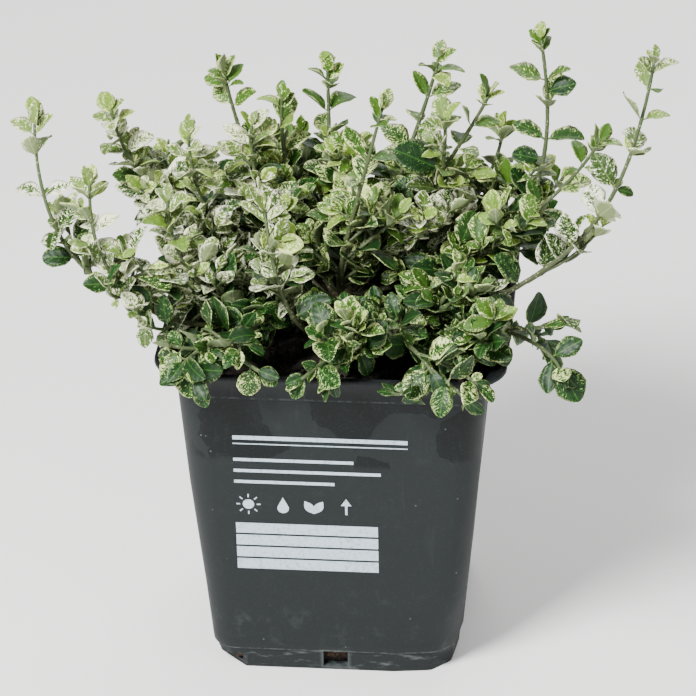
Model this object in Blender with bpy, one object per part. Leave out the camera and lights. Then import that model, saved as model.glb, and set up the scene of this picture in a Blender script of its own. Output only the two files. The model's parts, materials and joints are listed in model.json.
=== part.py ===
"""A pot-grown variegated wintercreeper euonymus in a square 9 cm nursery pot.

Run with: blender --background --python part.py

The plant is a short woody stem in the peat, one tapering bough for each shoot,
and one leafy mass on the tip of each bough. A mass is a twig with side twigs and
opposite leaves, grown by a seeded rule, and it keeps to the space that lies
nearer to its own limb than to any other. Lengths below are in millimetres and
are turned to metres where a mesh is made. The origin is the centre of the pot's
flat underside, +Z is up, and the printed face of the pot looks along -Y.
"""

import math
import random
from typing import NamedTuple

import bmesh
import bpy
from mathutils import Matrix, Vector
from mathutils.bvhtree import BVHTree
from mathutils.kdtree import KDTree

MM = 0.001
UP = Vector((0.0, 0.0, 1.0))
GAP = 0.3                    # between neighbouring solids

# Pot: half widths across the flats, heights above the ground
POT_HEIGHT = 95.0
LIP_HALF = 45.0
LIP_HEIGHT = 9.0             # the flared lip, down to its ledge
LIP_EDGE = 1.5               # height of its upright outer edge
LIP_THICK = 1.2
LEDGE = 0.5                  # how far the ledge under the flare stands out
LEDGE_FALL = 0.2             # where the ledge starts, below the flare
LEDGE_RISE = 0.3             # where it is full
FLARE_SHARES = (0.4, 0.72, 0.93)  # shares of the flare's rise that have a row
LIP_ROUND = 2.5              # how much rounder the corners are at the lip
INNER_ROUND = 0.6            # of the inset, taken off the corners inside the flare
INNER_RISE = 0.3             # of the inset, how much higher the flare is inside
INNER_FALL = 0.6             # where the flare starts inside, below its ledge
WALL_TOP_HALF = 39.7
WALL_FOOT_HALF = 33.0
FOOT_HALF = 31.8
FOOT_HEIGHT = 6.5
FOOT_SPREAD = 0.4            # how much the foot band widens upwards
FOOT_EASE = 0.7              # height of the eased edge under the foot
WALL = 1.0
FLOOR = 1.2
CORNER_TOP = 8.5
CORNER_FOOT = 6.5
CORNER_STEPS = 4             # facets round each corner
SIDE_STEPS = 2               # facets along each side
WINDOW_WIDTH = 6.5
WINDOW_HEIGHT = 5.0
NOTCH_DIAGONAL = 39.2        # where the corner notches start, from the axis
NOTCH_HEIGHT = 4.2
CUT_DEPTH = 8.0              # of the box that cuts a window
NOTCH_SIZE = 12.0            # of the box that cuts a notch
DENT_DEPTH = 3.0             # the lower front right corner is pushed in
DENT_HEIGHT = 24.0
DENT_SPREAD = 17.0
DENT_FADE = 1.6              # how fast the dent deepens below its top
KNEE_HEIGHT = 14.0           # where the wall starts to run straight
BELLY_HEIGHT = 57.0          # where the wall bulges most
BELLY = 0.3
EDGE = 0.5                   # half width of the eased edges
SHARP_ANGLE = math.radians(35)

# Peat
PEAT_TOP = 85.0
PEAT_GAP = 0.7               # to the walls; it rests on the floor
PEAT_ROUGH = 1.2
PEAT_FALL = (-1.0, 0.6)      # shares of the roughness, down and up
PEAT_EDGE = 1.0              # how far the edge lies below the top
PEAT_SEED = 5
PEAT_RINGS = (0.8, 0.5)
PEAT_LEVEL = 0.2             # share of the width that is level, round the stem

# Stem and limbs
STEM_FOOT = PEAT_TOP + GAP
STEM_PROFILE = ((5.4, 0.0), (4.3, 1.4), (3.7, 4.0), (3.4, 9.0), (3.0, 12.0), (1.8, 13.4))
STEM_SIDES = 10
TIER_LOW = 88.9              # the boughs leave the stem in tiers
TIER_STEP = 2.3
TIER_ANGLE = math.radians(29)
BOUGH_BASE = 0.8
BOUGH_TIP = 0.6
BOUGH_SIDES = 5
BOUGH_STEP = 6.5             # between rings along a bough
TWIG_BASE = 0.75
TWIG_TIP = 0.34
TWIG_SIDES = 3
SEAT = 0.1                   # more than GAP between the stem and a bough's end
TANGENT_STEP = 0.02          # share of a curve over which its way is measured

# Leaves and the growth rule
LEAF_LENGTH = 14.5           # larger than life, as there are fewer of them
LEAF_WIDTH = 0.64            # share of the length
LEAF_WIDEST = 0.52           # share of the length from the root
LEAF_THICK = 0.5
LEAF_FOLD = 0.16             # how far the edges rise, as a share of the length
LEAF_ROOT = 0.12             # where a leaf starts inside its twig
LEAF_TIP_RISE = 0.06
LEAF_TILT = math.radians(58)
TILT_SPREAD = 0.25
TURN_SPREAD = 0.35
LENGTH_SPREAD = (0.86, 1.08)
INTERNODE = 12.5
FIRST_NODE = 0.45            # of an internode, from the start of a twig
TWIG_STEP = 7.5              # between rings along a twig
TIP_CROWDING = 0.5           # how much shorter the internodes are at the tip
TIP_SHRINK = 0.55            # how much smaller the leaves get towards the tip
TIP_LEAF = 5.5               # the last pair, which reaches the shoot's tip
TIP_SPREAD = (0.92, 0.38)    # its way: so much along the twig, so much outwards
TIP_ROOT = 0.6               # where it starts, back from the twig's end
TIP_BACK = 0.4               # of the last leaf, how far the twig ends before the shoot's tip
SIDE_LENGTH = (14.0, 24.0)
SIDE_FIRST = 0.06            # share of the mass's twig below its side twigs
SIDE_SPACING = 0.11          # between side twigs, as a share of the mass's twig
SIDE_SPREAD = 0.08
SIDE_TRIES = 9
SIDE_TURN = math.radians(75)  # between one try and the next
SIDE_SHRINK = 0.93
SIDE_RISE = (0.5, 0.12)      # of its length, steep and flat tries in turn
SIDE_OUT = 0.8
SIDE_LEAN = 0.2
SIDE_BEND = 0.55
SIDE_FOLLOW = 0.6            # how far a side twig first follows its twig
SIDE_BASE = 0.8              # of the twig's width
SIDE_DRESSED = 0.05          # share of a side twig before its leaves may start
LEAF_TRIES = (1.0, 0.84, 0.7, 0.55)  # a leaf that doesn't fit is tried smaller
CELL_CLEAR = 0.7             # kept between one mass's space and the next
LIMB_CLEAR = 0.5
LIP_CLEAR = 0.7
WALL_CLEAR = 0.9
STEM_CLEAR = 1.0
SAMPLE = 1.5                 # between the points that stand for a limb
CLOSE_TRIES = (0.004, 0.0015, 0.0005)  # fused edges shorter than this are closed up


class Shoot(NamedTuple):
    """One shoot: its elbow and tip, its share that is bough, and its side twigs."""

    name: str
    elbow: tuple
    tip: tuple
    bare: float
    sides: int
    finish: str


SHOOTS = (
    Shoot("far_left", (-75, -42, 98), (-75, -20, 157), 0.44, 1, "silver"),
    Shoot("left_back", (-56, 14, 108), (-61, 10, 146), 0.24, 4, "silver"),
    Shoot("left", (-60, -50, 98), (-60, -30, 145), 0.24, 5, "silver"),
    Shoot("left_inner", (-40, 2, 106), (-39, 0, 144), 0.22, 3, "silver"),
    Shoot("left_front", (-42, -24, 100), (-43, -15, 133), 0.20, 4, "silver"),
    Shoot("back_left", (-27, 30, 112), (-34, 30, 148), 0.22, 3, "marbled"),
    Shoot("centre_left", (-26, 10, 110), (-24, 12, 142), 0.22, 2, "silver"),
    Shoot("centre_back_left", (-19, 24, 112), (-17, 22, 146), 0.24, 2, "marbled"),
    Shoot("centre_back", (-6, 28, 116), (-6, 30, 151), 0.22, 3, "marbled"),
    Shoot("centre", (0, -17, 114), (13, -12, 159), 0.20, 3, "marbled"),
    Shoot("centre_back_right", (14, 30, 114), (24, 30, 154), 0.22, 2, "marbled"),
    Shoot("centre_right", (20, 16, 112), (39, 12, 152), 0.24, 2, "marbled"),
    Shoot("back_right", (38, 36, 102), (40, 38, 131), 0.22, 3, "lime"),
    Shoot("right_inner", (28, 6, 104), (26, 12, 146), 0.22, 3, "silver"),
    Shoot("tall_right", (62, 6, 99), (50, 15, 167), 0.28, 2, "marbled"),
    Shoot("right", (46, -2, 108), (68, 0, 145), 0.26, 2, "marbled"),
    Shoot("far_right", (72, -17, 98), (80, -5, 171), 0.32, 1, "silver"),
    Shoot("front_right", (47, -35, 97), (41, -42, 116), 0.24, 4, "lime"),
    Shoot("trailing_right", (53, -27, 105), (60, -45, 97), 0.26, 4, "marbled"),
    Shoot("front", (11, -45, 98), (4, -44, 116), 0.20, 5, "lime"),
    Shoot("front_left", (-10, -46, 98), (-18, -20, 134), 0.18, 5, "silver"),
    Shoot("front_centre", (28, -28, 99), (32, -22, 120), 0.20, 5, "lime"),
    Shoot("trailing_left", (-31, -40, 105), (-38, -49, 97), 0.22, 5, "marbled"),
    Shoot("trailing_front", (22, -42, 106), (29, -50, 97), 0.24, 4, "marbled"),
    Shoot("rear_left", (-46, 40, 100), (-52, 42, 119), 0.24, 3, "marbled"),
    Shoot("rear_middle_left", (-14, 48, 100), (-16, 54, 121), 0.24, 3, "marbled"),
    Shoot("rear_middle_right", (16, 50, 100), (18, 55, 119), 0.24, 3, "marbled"),
    Shoot("rear_right", (46, 34, 98), (58, 38, 117), 0.24, 3, "marbled"),
)

# Finishes: name: colour (linear), roughness
FINISHES = {
    "pot_plastic": ((0.045, 0.056, 0.058), 0.55),
    "peat": ((0.022, 0.015, 0.010), 0.95),
    "bark": ((0.150, 0.130, 0.070), 0.80),
    "silver": ((0.560, 0.620, 0.420), 0.50),
    "marbled": ((0.180, 0.290, 0.110), 0.45),
    "lime": ((0.420, 0.520, 0.200), 0.50),
}


def clear_scene():
    """Removes the objects that the file opened with."""
    for item in list(bpy.data.objects):
        bpy.data.objects.remove(item, do_unlink=True)


def material(name):
    """Returns the Principled material of a finish, made once."""
    if name in bpy.data.materials:
        return bpy.data.materials[name]
    colour, roughness = FINISHES[name]
    made = bpy.data.materials.new(name)
    made.use_nodes = True
    shader = made.node_tree.nodes["Principled BSDF"]
    shader.inputs["Base Color"].default_value = (*colour, 1.0)
    shader.inputs["Roughness"].default_value = roughness
    shader.inputs["Metallic"].default_value = 0.0
    return made


def add_object(name, points, faces, finish=None, collection=None):
    """Adds a mesh object from points in millimetres."""
    mesh = bpy.data.meshes.new(name)
    mesh.from_pydata([Vector(p) * MM for p in points], [], faces)
    mesh.validate()
    item = bpy.data.objects.new(name, mesh)
    (collection or bpy.context.scene.collection).objects.link(item)
    if finish:
        mesh.materials.append(material(finish))
    return item


def skin(rings):
    """Joins rings of equal count into one closed surface and returns its faces."""
    count = len(rings[0])
    faces = []
    for level in range(len(rings) - 1):
        low = level * count
        for i in range(count):
            j = (i + 1) % count
            faces.append((low + i, low + j, low + count + j, low + count + i))
    last = (len(rings) - 1) * count
    faces.append(tuple(reversed(range(count))))
    faces.append(tuple(range(last, last + count)))
    return faces


def rounded_square(half, radius, z):
    """Returns a ring of points round a square with round corners, anticlockwise."""
    inner = half - radius
    quarter = []
    for step in range(CORNER_STEPS + 1):
        angle = math.radians(90 * step / CORNER_STEPS)
        quarter.append(Vector((inner + radius * math.cos(angle), inner + radius * math.sin(angle), z)))
    for step in range(1, SIDE_STEPS):
        quarter.append(Vector((inner - 2 * inner * step / SIDE_STEPS, half, z)))
    turns = [Matrix.Rotation(math.radians(90 * turn), 3, "Z") for turn in range(4)]
    return [turn @ point for turn in turns for point in quarter]


def dented(point):
    """Pushes a point near the lower front right corner towards the axis."""
    corner = Vector((WALL_FOOT_HALF, -WALL_FOOT_HALF))
    away = (point.xy - corner).length
    side = max(0.0, 1.0 - away / DENT_SPREAD)
    height = max(0.0, 1.0 - point.z / DENT_HEIGHT)
    push = DENT_DEPTH * side * min(1.0, DENT_FADE * height)
    return point - Vector((corner.x, corner.y, 0.0)).normalized() * push


def wall_half(z, inset=0.0):
    """Half width of the outer wall at a height, between the foot and the lip."""
    share = (z - FOOT_HEIGHT) / (POT_HEIGHT - LIP_HEIGHT - FOOT_HEIGHT)
    return WALL_FOOT_HALF + (WALL_TOP_HALF - WALL_FOOT_HALF) * share - inset


def wall_corner(z, inset=0.0):
    """Corner radius of the wall at a height."""
    return CORNER_FOOT + (CORNER_TOP - CORNER_FOOT) * z / POT_HEIGHT - inset


def wall_row(z, inset=0.0, bulge=0.0):
    """Returns the wall's (half width, corner radius, height) at a height."""
    return (wall_half(z, inset) + bulge, wall_corner(z, inset), z)


def lip_rows(inset):
    """Returns the rows of the lip's hollow flare, from its ledge to its edge."""
    low = POT_HEIGHT - LIP_HEIGHT
    reach = LIP_HALF - WALL_TOP_HALF
    rise = LIP_HEIGHT - LIP_EDGE
    rows = []
    for share in FLARE_SHARES:
        flare = 1 - math.sqrt(1 - share ** 2)
        half = WALL_TOP_HALF + LEDGE + (reach - LEDGE) * flare - inset
        corner = CORNER_TOP + LIP_ROUND * flare - INNER_ROUND * inset
        rows.append((half, corner, low + rise * share + INNER_RISE * inset))
    return rows


def pot_rows():
    """Returns (half width, corner radius, height) up the outside and down the inside."""
    lip_low = POT_HEIGHT - LIP_HEIGHT
    lip_corner = CORNER_TOP + LIP_ROUND
    outside = [
        (FOOT_HALF - EDGE, CORNER_FOOT - EDGE, 0.0),
        (FOOT_HALF, CORNER_FOOT, FOOT_EASE),
        (FOOT_HALF + FOOT_SPREAD, CORNER_FOOT, FOOT_HEIGHT - EDGE),
        (WALL_FOOT_HALF, CORNER_FOOT, FOOT_HEIGHT),
        wall_row(KNEE_HEIGHT),
        wall_row(DENT_HEIGHT),
        wall_row(BELLY_HEIGHT, bulge=BELLY),
        (WALL_TOP_HALF, CORNER_TOP, lip_low - LEDGE_FALL),
        (WALL_TOP_HALF + LEDGE, CORNER_TOP + LEDGE, lip_low + LEDGE_RISE),
        *lip_rows(0.0),
        (LIP_HALF, lip_corner, POT_HEIGHT - LIP_EDGE),
        (LIP_HALF, lip_corner, POT_HEIGHT - EDGE),
        (LIP_HALF - EDGE, lip_corner - EDGE, POT_HEIGHT),
    ]
    inside = [
        (LIP_HALF - LIP_THICK - EDGE, lip_corner - LIP_THICK, POT_HEIGHT),
        *reversed(lip_rows(LIP_THICK)),
        (wall_half(lip_low, WALL), CORNER_TOP - WALL, lip_low - INNER_FALL),
        wall_row(BELLY_HEIGHT, WALL, BELLY),
        wall_row(DENT_HEIGHT, WALL),
        wall_row(KNEE_HEIGHT, WALL),
        (FOOT_HALF - WALL, CORNER_FOOT - WALL, FOOT_HEIGHT - EDGE),
        (FOOT_HALF - WALL - FOOT_SPREAD, CORNER_FOOT - WALL, FLOOR),
    ]
    return outside + inside


def add_cutter(name, size, place, turn, collection):
    """Adds a box that cuts the pot and stays out of the part."""
    mesh = bpy.data.meshes.new(name)
    shape = bmesh.new()
    bmesh.ops.create_cube(shape, size=1.0)
    bmesh.ops.scale(shape, vec=Vector(size) * MM, verts=shape.verts)
    shape.to_mesh(mesh)
    shape.free()
    cutter = bpy.data.objects.new(name, mesh)
    cutter.location = Vector(place) * MM
    cutter.rotation_euler = (0.0, 0.0, turn)
    cutter.hide_render = True
    cutter.display_type = "WIRE"
    collection.objects.link(cutter)


def cut_drainage(pot):
    """Cuts a drain window in each side and a notch under each corner."""
    cutters = bpy.data.collections.new("drain_cutters")
    bpy.context.scene.collection.children.link(cutters)
    middle = FLOOR + WINDOW_HEIGHT / 2
    window = (WINDOW_WIDTH, CUT_DEPTH, WINDOW_HEIGHT)
    notch = (NOTCH_SIZE, 2 * NOTCH_SIZE, NOTCH_SIZE)
    for side in range(4):
        turn = math.radians(90 * side)
        place = (FOOT_HALF * math.sin(turn), -FOOT_HALF * math.cos(turn), middle)
        add_cutter(f"window_cut_{side}", window, place, turn, cutters)
        diagonal = turn + math.radians(45)
        reach = NOTCH_DIAGONAL + NOTCH_SIZE / 2
        place = (reach * math.cos(diagonal), reach * math.sin(diagonal), NOTCH_HEIGHT - NOTCH_SIZE / 2)
        add_cutter(f"notch_cut_{side}", notch, place, diagonal, cutters)
    cut = pot.modifiers.new("drainage", "BOOLEAN")
    cut.operation = "DIFFERENCE"
    cut.operand_type = "COLLECTION"
    cut.collection = cutters
    cut.solver = "EXACT"


def make_pot():
    """Makes the hollow pot: foot, tapering walls, flared lip and drainage."""
    rings = [[dented(p) for p in rounded_square(*row)] for row in pot_rows()]
    points = [p for ring in rings for p in ring]
    pot = add_object("pot", points, skin(rings), "pot_plastic")
    cut_drainage(pot)
    pot.data.shade_smooth()
    pot.data.set_sharp_from_angle(angle=SHARP_ANGLE)


def make_peat():
    """Makes the peat that fills the pot, rough on top and level round the stem."""
    chance = random.Random(PEAT_SEED)
    inset = WALL + PEAT_GAP
    rows = (
        (FOOT_HALF - inset - FOOT_SPREAD, CORNER_FOOT - inset, FLOOR + GAP),
        (FOOT_HALF - inset, CORNER_FOOT - inset, FOOT_HEIGHT - EDGE),
        wall_row(KNEE_HEIGHT, inset),
        wall_row(DENT_HEIGHT, inset),
        wall_row(BELLY_HEIGHT, inset),
        (wall_half(PEAT_TOP, inset), wall_corner(PEAT_TOP, inset), PEAT_TOP - PEAT_EDGE),
    )
    rings = [[dented(p) for p in rounded_square(*row)] for row in rows]
    edge = rings[-1]
    for share in PEAT_RINGS:
        ring = []
        for p in edge:
            rough = PEAT_ROUGH * chance.uniform(*PEAT_FALL)
            ring.append(Vector((p.x * share, p.y * share, PEAT_TOP + rough)))
        rings.append(ring)
    rings.append([Vector((p.x * PEAT_LEVEL, p.y * PEAT_LEVEL, PEAT_TOP)) for p in edge])
    points = [p for ring in rings for p in ring]
    add_object("peat", points, skin(rings), "peat")


def make_stem():
    """Makes the short woody stem, flared at the peat and rounded at its fork."""
    rings = []
    for radius, height in STEM_PROFILE:
        ring = []
        for i in range(STEM_SIDES):
            angle = 2 * math.pi * i / STEM_SIDES
            ring.append(Vector((radius * math.cos(angle), radius * math.sin(angle), STEM_FOOT + height)))
        rings.append(ring)
    stem = add_object("stem", [p for ring in rings for p in ring], skin(rings), "bark")
    stem.data.shade_smooth()


def azimuth(shoot):
    """Returns the way a shoot leaves the stem, in radians round the axis."""
    return math.atan2(shoot.elbow[1], shoot.elbow[0])


def rise_of(shoot):
    """Returns how steeply a shoot climbs to its elbow."""
    return (shoot.elbow[2] - PEAT_TOP) / math.hypot(shoot.elbow[0], shoot.elbow[1])


def tiers():
    """Gives each shoot the lowest tier that has room for it, the flattest first."""
    found = {}
    for shoot in sorted(SHOOTS, key=rise_of):
        tier = 0
        while any(
            found[other.name] == tier
            and abs(math.remainder(azimuth(other) - azimuth(shoot), 2 * math.pi)) < TIER_ANGLE
            for other in SHOOTS
            if other.name in found
        ):
            tier += 1
        found[shoot.name] = tier
    return found


def stem_radius(z):
    """Half width of the stem at a height."""
    height = z - STEM_FOOT
    for (wide, low), (narrow, high) in zip(STEM_PROFILE, STEM_PROFILE[1:]):
        if height <= high:
            return wide + (narrow - wide) * (height - low) / (high - low)
    return STEM_PROFILE[-1][0]


def bend_curve(start, elbow, tip):
    """Returns a bend round an elbow, as a function of 0 to 1."""

    def at(t):
        return start * (1 - t) ** 2 + elbow * (2 * t * (1 - t)) + tip * t ** 2

    return at


def limb_curve(shoot, tier):
    """Returns the shoot's whole line, from its seat on the stem to its tip."""
    elbow = Vector(shoot.elbow)
    reach = Vector(shoot.tip)
    tip = reach - (reach - elbow).normalized() * (TIP_BACK * TIP_LEAF)
    level = TIER_LOW + TIER_STEP * tier
    flat = Vector((elbow.x, elbow.y, 0.0))
    slope = math.atan2(elbow.z - level, flat.length)
    start_out = stem_radius(level) + GAP + BOUGH_BASE * abs(math.sin(slope)) + SEAT
    return bend_curve(flat.normalized() * start_out + UP * level, elbow, tip)


def polyline(at, first, last, step):
    """Returns points on a curve between two shares, about a step apart."""
    length = (at(last) - at(first)).length
    count = max(3, round(length / step) + 1)
    return [at(first + (last - first) * i / (count - 1)) for i in range(count)]


def tube(points, radius_start, radius_end, sides):
    """Returns the rings of a tapering tube along points, carried without twist."""
    rings = []
    tangent = (points[1] - points[0]).normalized()
    across = tangent.cross(UP if abs(tangent.z) < 0.9 else Vector((1, 0, 0))).normalized()
    for i, point in enumerate(points):
        ahead = points[min(i + 1, len(points) - 1)]
        behind = points[max(i - 1, 0)]
        tangent = (ahead - behind).normalized()
        across = (across - tangent * across.dot(tangent)).normalized()
        other = tangent.cross(across)
        radius = radius_start + (radius_end - radius_start) * i / (len(points) - 1)
        ring = []
        for side in range(sides):
            angle = 2 * math.pi * side / sides
            ring.append(point + (across * math.cos(angle) + other * math.sin(angle)) * radius)
        rings.append(ring)
    return rings


def add_tube(name, points, radii, sides, finish, collection=None):
    """Adds a closed tapering tube."""
    rings = tube(points, radii[0], radii[1], sides)
    return add_object(name, [p for ring in rings for p in ring], skin(rings), finish, collection)


def leaf_points(root, along, face, length):
    """Returns the six points of a leaf: root, tip, two raised edges, top and bottom."""
    across = along.cross(face).normalized()
    middle = root + along * (LEAF_WIDEST * length)
    half = 0.5 * LEAF_WIDTH * length
    rise = face * (LEAF_FOLD * length)
    thick = face * (LEAF_THICK / 2)
    return [
        root,
        middle + across * half + rise,
        root + along * length + face * (LEAF_TIP_RISE * length),
        middle - across * half + rise,
        middle + thick,
        middle - thick,
    ]


LEAF_FACES = (
    (0, 1, 4), (1, 2, 4), (2, 3, 4), (3, 0, 4),
    (1, 0, 5), (2, 1, 5), (3, 2, 5), (0, 3, 5),
)


class Space:
    """The room that belongs to each mass: all that lies nearest to its own limb."""

    def __init__(self, curves):
        self.trees = {}
        self.boughs = {}
        for shoot in SHOOTS:
            at = curves[shoot.name]
            self.trees[shoot.name] = self.plant(polyline(at, 0.0, 1.0, SAMPLE))
            self.boughs[shoot.name] = self.plant(polyline(at, 0.0, shoot.bare, SAMPLE))

    @staticmethod
    def plant(points):
        """Returns a search tree of points."""
        tree = KDTree(len(points))
        for i, point in enumerate(points):
            tree.insert(point, i)
        tree.balance()
        return tree

    @staticmethod
    def blocked(p):
        """Tells whether a point lies in or too near the pot, the peat or the stem."""
        wide = max(abs(p.x), abs(p.y))
        stem_top = STEM_FOOT + STEM_PROFILE[-1][1]
        if p.xy.length < STEM_PROFILE[0][0] + STEM_CLEAR and p.z < stem_top + 1.5 * STEM_CLEAR:
            return True
        if wide > LIP_HALF + LIP_CLEAR or p.z > POT_HEIGHT + LIP_CLEAR:
            return False
        return wide > wall_half(PEAT_TOP, WALL) - WALL_CLEAR or p.z < PEAT_TOP + PEAT_ROUGH + LIMB_CLEAR

    def holds(self, name, points):
        """Tells whether points keep to a mass's own space, clear of every limb."""
        for p in points:
            if self.blocked(p):
                return False
            if self.boughs[name].find(p)[2] < BOUGH_BASE + LIMB_CLEAR:
                return False
            own = self.trees[name].find(p)[2] + CELL_CLEAR
            for other, tree in self.trees.items():
                if other != name and tree.find(p)[2] < own:
                    return False
        return True


class Mass:
    """One leafy mass: a twig, its side twigs and its leaves, grown then fused."""

    def __init__(self, shoot, at, space):
        self.shoot = shoot
        self.space = space
        self.chance = random.Random(shoot.name)
        self.grown = []
        self.pieces = bpy.data.collections.new(f"pieces_{shoot.name}")
        bpy.context.scene.collection.children.link(self.pieces)
        length = (at(1.0) - at(shoot.bare)).length
        start = shoot.bare + (1.0 - shoot.bare) * GAP / length
        line = polyline(at, start, 1.0, TWIG_STEP)
        self.core = add_tube("twig", line, (TWIG_BASE, TWIG_TIP), TWIG_SIDES, None, self.pieces)
        self.branch(at, start)
        self.dress(at, start, 1.0)

    def crosses(self, shape):
        """Tells whether a shape cuts through a leaf or side twig grown before."""
        return any(shape.overlap(other) for other in self.grown)

    def leaf(self, root, along, face, length):
        """Adds a leaf, smaller if it must be, unless it would leave the space."""
        for share in LEAF_TRIES:
            points = leaf_points(root + along * LEAF_ROOT, along, face, length * share)
            probes = points[1:] + [(points[1] + points[2]) / 2, (points[2] + points[3]) / 2]
            shape = BVHTree.FromPolygons(points, LEAF_FACES)
            if self.space.holds(self.shoot.name, probes) and not self.crosses(shape):
                add_object("leaf", points, LEAF_FACES, None, self.pieces)
                self.grown.append(shape)
                return

    def pair(self, point, tangent, turn, length):
        """Adds two opposite leaves whose upper faces look towards the twig's tip."""
        across = tangent.cross(UP if abs(tangent.z) < 0.9 else Vector((1, 0, 0))).normalized()
        other = tangent.cross(across)
        for side in range(2):
            angle = turn + math.pi * side + self.chance.uniform(-TURN_SPREAD, TURN_SPREAD)
            out = across * math.cos(angle) + other * math.sin(angle)
            tilt = LEAF_TILT + self.chance.uniform(-TILT_SPREAD, TILT_SPREAD)
            along = tangent * math.cos(tilt) + out * math.sin(tilt)
            face = (tangent - along * tangent.dot(along)).normalized()
            self.leaf(point, along, face, length * self.chance.uniform(*LENGTH_SPREAD))

    def dress(self, at, first, last):
        """Sets pairs of leaves along a curve, each a quarter turn from the last."""
        length = (at(last) - at(first)).length
        turn = self.chance.uniform(0.0, math.pi)
        gone = FIRST_NODE * INTERNODE
        while gone < length:
            share = gone / length
            t = first + (last - first) * share
            tangent = (at(min(t + TANGENT_STEP, 1.0)) - at(t - TANGENT_STEP)).normalized()
            self.pair(at(t), tangent, turn, LEAF_LENGTH * (1 - TIP_SHRINK * share))
            turn += math.pi / 2
            gone += INTERNODE * (1 - TIP_CROWDING * share)
        tangent = (at(last) - at(last - 2 * TANGENT_STEP)).normalized()
        for side in range(2):
            out = tangent.orthogonal().normalized() * (1 - 2 * side)
            along = (tangent * TIP_SPREAD[0] + out * TIP_SPREAD[1]).normalized()
            face = (-out + along * out.dot(along)).normalized()
            self.leaf(at(last) - tangent * TIP_ROOT, along, face, TIP_LEAF)

    def branch(self, at, first):
        """Adds side twigs from the lower part, each bending up to the light."""
        for number in range(self.shoot.sides):
            share = SIDE_FIRST + SIDE_SPACING * number + self.chance.uniform(0.0, SIDE_SPREAD)
            t = first + (1 - first) * share
            tangent = (at(t + TANGENT_STEP) - at(t - TANGENT_STEP)).normalized()
            around = self.chance.uniform(0.0, 2 * math.pi)
            length = self.chance.uniform(*SIDE_LENGTH)
            for attempt in range(SIDE_TRIES):
                angle = around + attempt * SIDE_TURN
                rise = SIDE_RISE[attempt % 2]
                if self.side_twig(at(t), tangent, angle, rise, length * SIDE_SHRINK ** attempt):
                    break

    def side_twig(self, root, tangent, angle, rise, length):
        """Adds one side twig with its leaves, if it fits, and tells whether it did."""
        out = Vector((math.cos(angle), math.sin(angle), SIDE_LEAN)).normalized()
        bend = root + (out + tangent * SIDE_FOLLOW).normalized() * (SIDE_BEND * length)
        curve = bend_curve(root, bend, root + out * (SIDE_OUT * length) + UP * (rise * length))
        line = polyline(curve, 0.0, 1.0, TWIG_STEP)
        rings = tube(line, TWIG_BASE * SIDE_BASE, TWIG_TIP, TWIG_SIDES)
        points = [p for ring in rings for p in ring]
        shape = BVHTree.FromPolygons(points, skin(rings))
        if not self.space.holds(self.shoot.name, line[1:]) or self.crosses(shape):
            return False
        add_object("twig", points, skin(rings), None, self.pieces)
        self.dress(curve, SIDE_DRESSED, 1.0)
        self.grown.append(shape)
        return True

    def fuse(self):
        """Joins the pieces by one union and keeps its one connected body."""
        core = self.core
        self.pieces.objects.unlink(core)
        bpy.context.scene.collection.objects.link(core)
        union = core.modifiers.new("union", "BOOLEAN")
        union.operation = "UNION"
        union.operand_type = "COLLECTION"
        union.collection = self.pieces
        union.solver = "EXACT"
        graph = bpy.context.evaluated_depsgraph_get()
        mesh = bpy.data.meshes.new_from_object(core.evaluated_get(graph))
        for item in list(self.pieces.objects):
            bpy.data.objects.remove(item, do_unlink=True)
        bpy.data.collections.remove(self.pieces)
        bpy.data.objects.remove(core, do_unlink=True)
        keep_body(mesh)
        mesh.materials.clear()
        mesh.materials.append(material(self.shoot.finish))
        name = f"shoot_{self.shoot.name}"
        bpy.context.scene.collection.objects.link(bpy.data.objects.new(name, mesh))


def closed_up(shape):
    """Returns a triangulated copy with its tiniest edges closed and no pinched edge."""
    for tiny in CLOSE_TRIES:
        trial = shape.copy()
        bmesh.ops.triangulate(trial, faces=trial.faces)
        bmesh.ops.dissolve_degenerate(trial, dist=tiny * MM, edges=trial.edges)
        bmesh.ops.triangulate(trial, faces=trial.faces)
        if all(len(edge.link_faces) == 2 for edge in trial.edges):
            break
    return trial


def keep_body(mesh):
    """Drops loose scraps and the walls of sealed hollows from a fused mesh."""
    fused = bmesh.new()
    fused.from_mesh(mesh)
    shape = closed_up(fused)
    left = set(shape.faces)
    bodies = []
    for seed in shape.faces:
        if seed not in left:
            continue
        left.remove(seed)
        body = [seed]
        for face in body:
            near = {other for edge in face.edges for other in edge.link_faces} & left
            left -= near
            body.extend(near)
        bodies.append(body)
    bodies.sort(key=len)
    scraps = [face for body in bodies[:-1] for face in body]
    bmesh.ops.delete(shape, geom=scraps, context="FACES")
    shape.to_mesh(mesh)
    shape.free()
    fused.free()


def make_bough(shoot, at):
    """Makes one tapering bough, from the stem to where its mass starts."""
    line = polyline(at, 0.0, shoot.bare, BOUGH_STEP)
    radii = (BOUGH_BASE, BOUGH_TIP)
    bough = add_tube(f"bough_{shoot.name}", line, radii, BOUGH_SIDES, "bark")
    bough.data.shade_smooth()


def main():
    """Builds the pot, the peat, the stem, the boughs and the leafy masses."""
    clear_scene()
    make_pot()
    make_peat()
    make_stem()
    level = tiers()
    curves = {shoot.name: limb_curve(shoot, level[shoot.name]) for shoot in SHOOTS}
    space = Space(curves)
    for shoot in SHOOTS:
        make_bough(shoot, curves[shoot.name])
    for shoot in SHOOTS:
        Mass(shoot, curves[shoot.name], space).fuse()


main()
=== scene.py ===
"""A pot-grown variegated wintercreeper euonymus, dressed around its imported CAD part.

The plant follows the growth rule of the part's source: one limb for each shoot, side twigs
and opposite leaves, each mass in the room that lies nearest to its own limb. Here the rule
is carried to finer twigs, shorter internodes and leaves of life size. Sizes are in
millimetres and are turned to metres where a mesh is made. The origin is the centre of the
pot's underside, +Z is up, and the printed face of the pot looks along -Y.
"""

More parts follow.
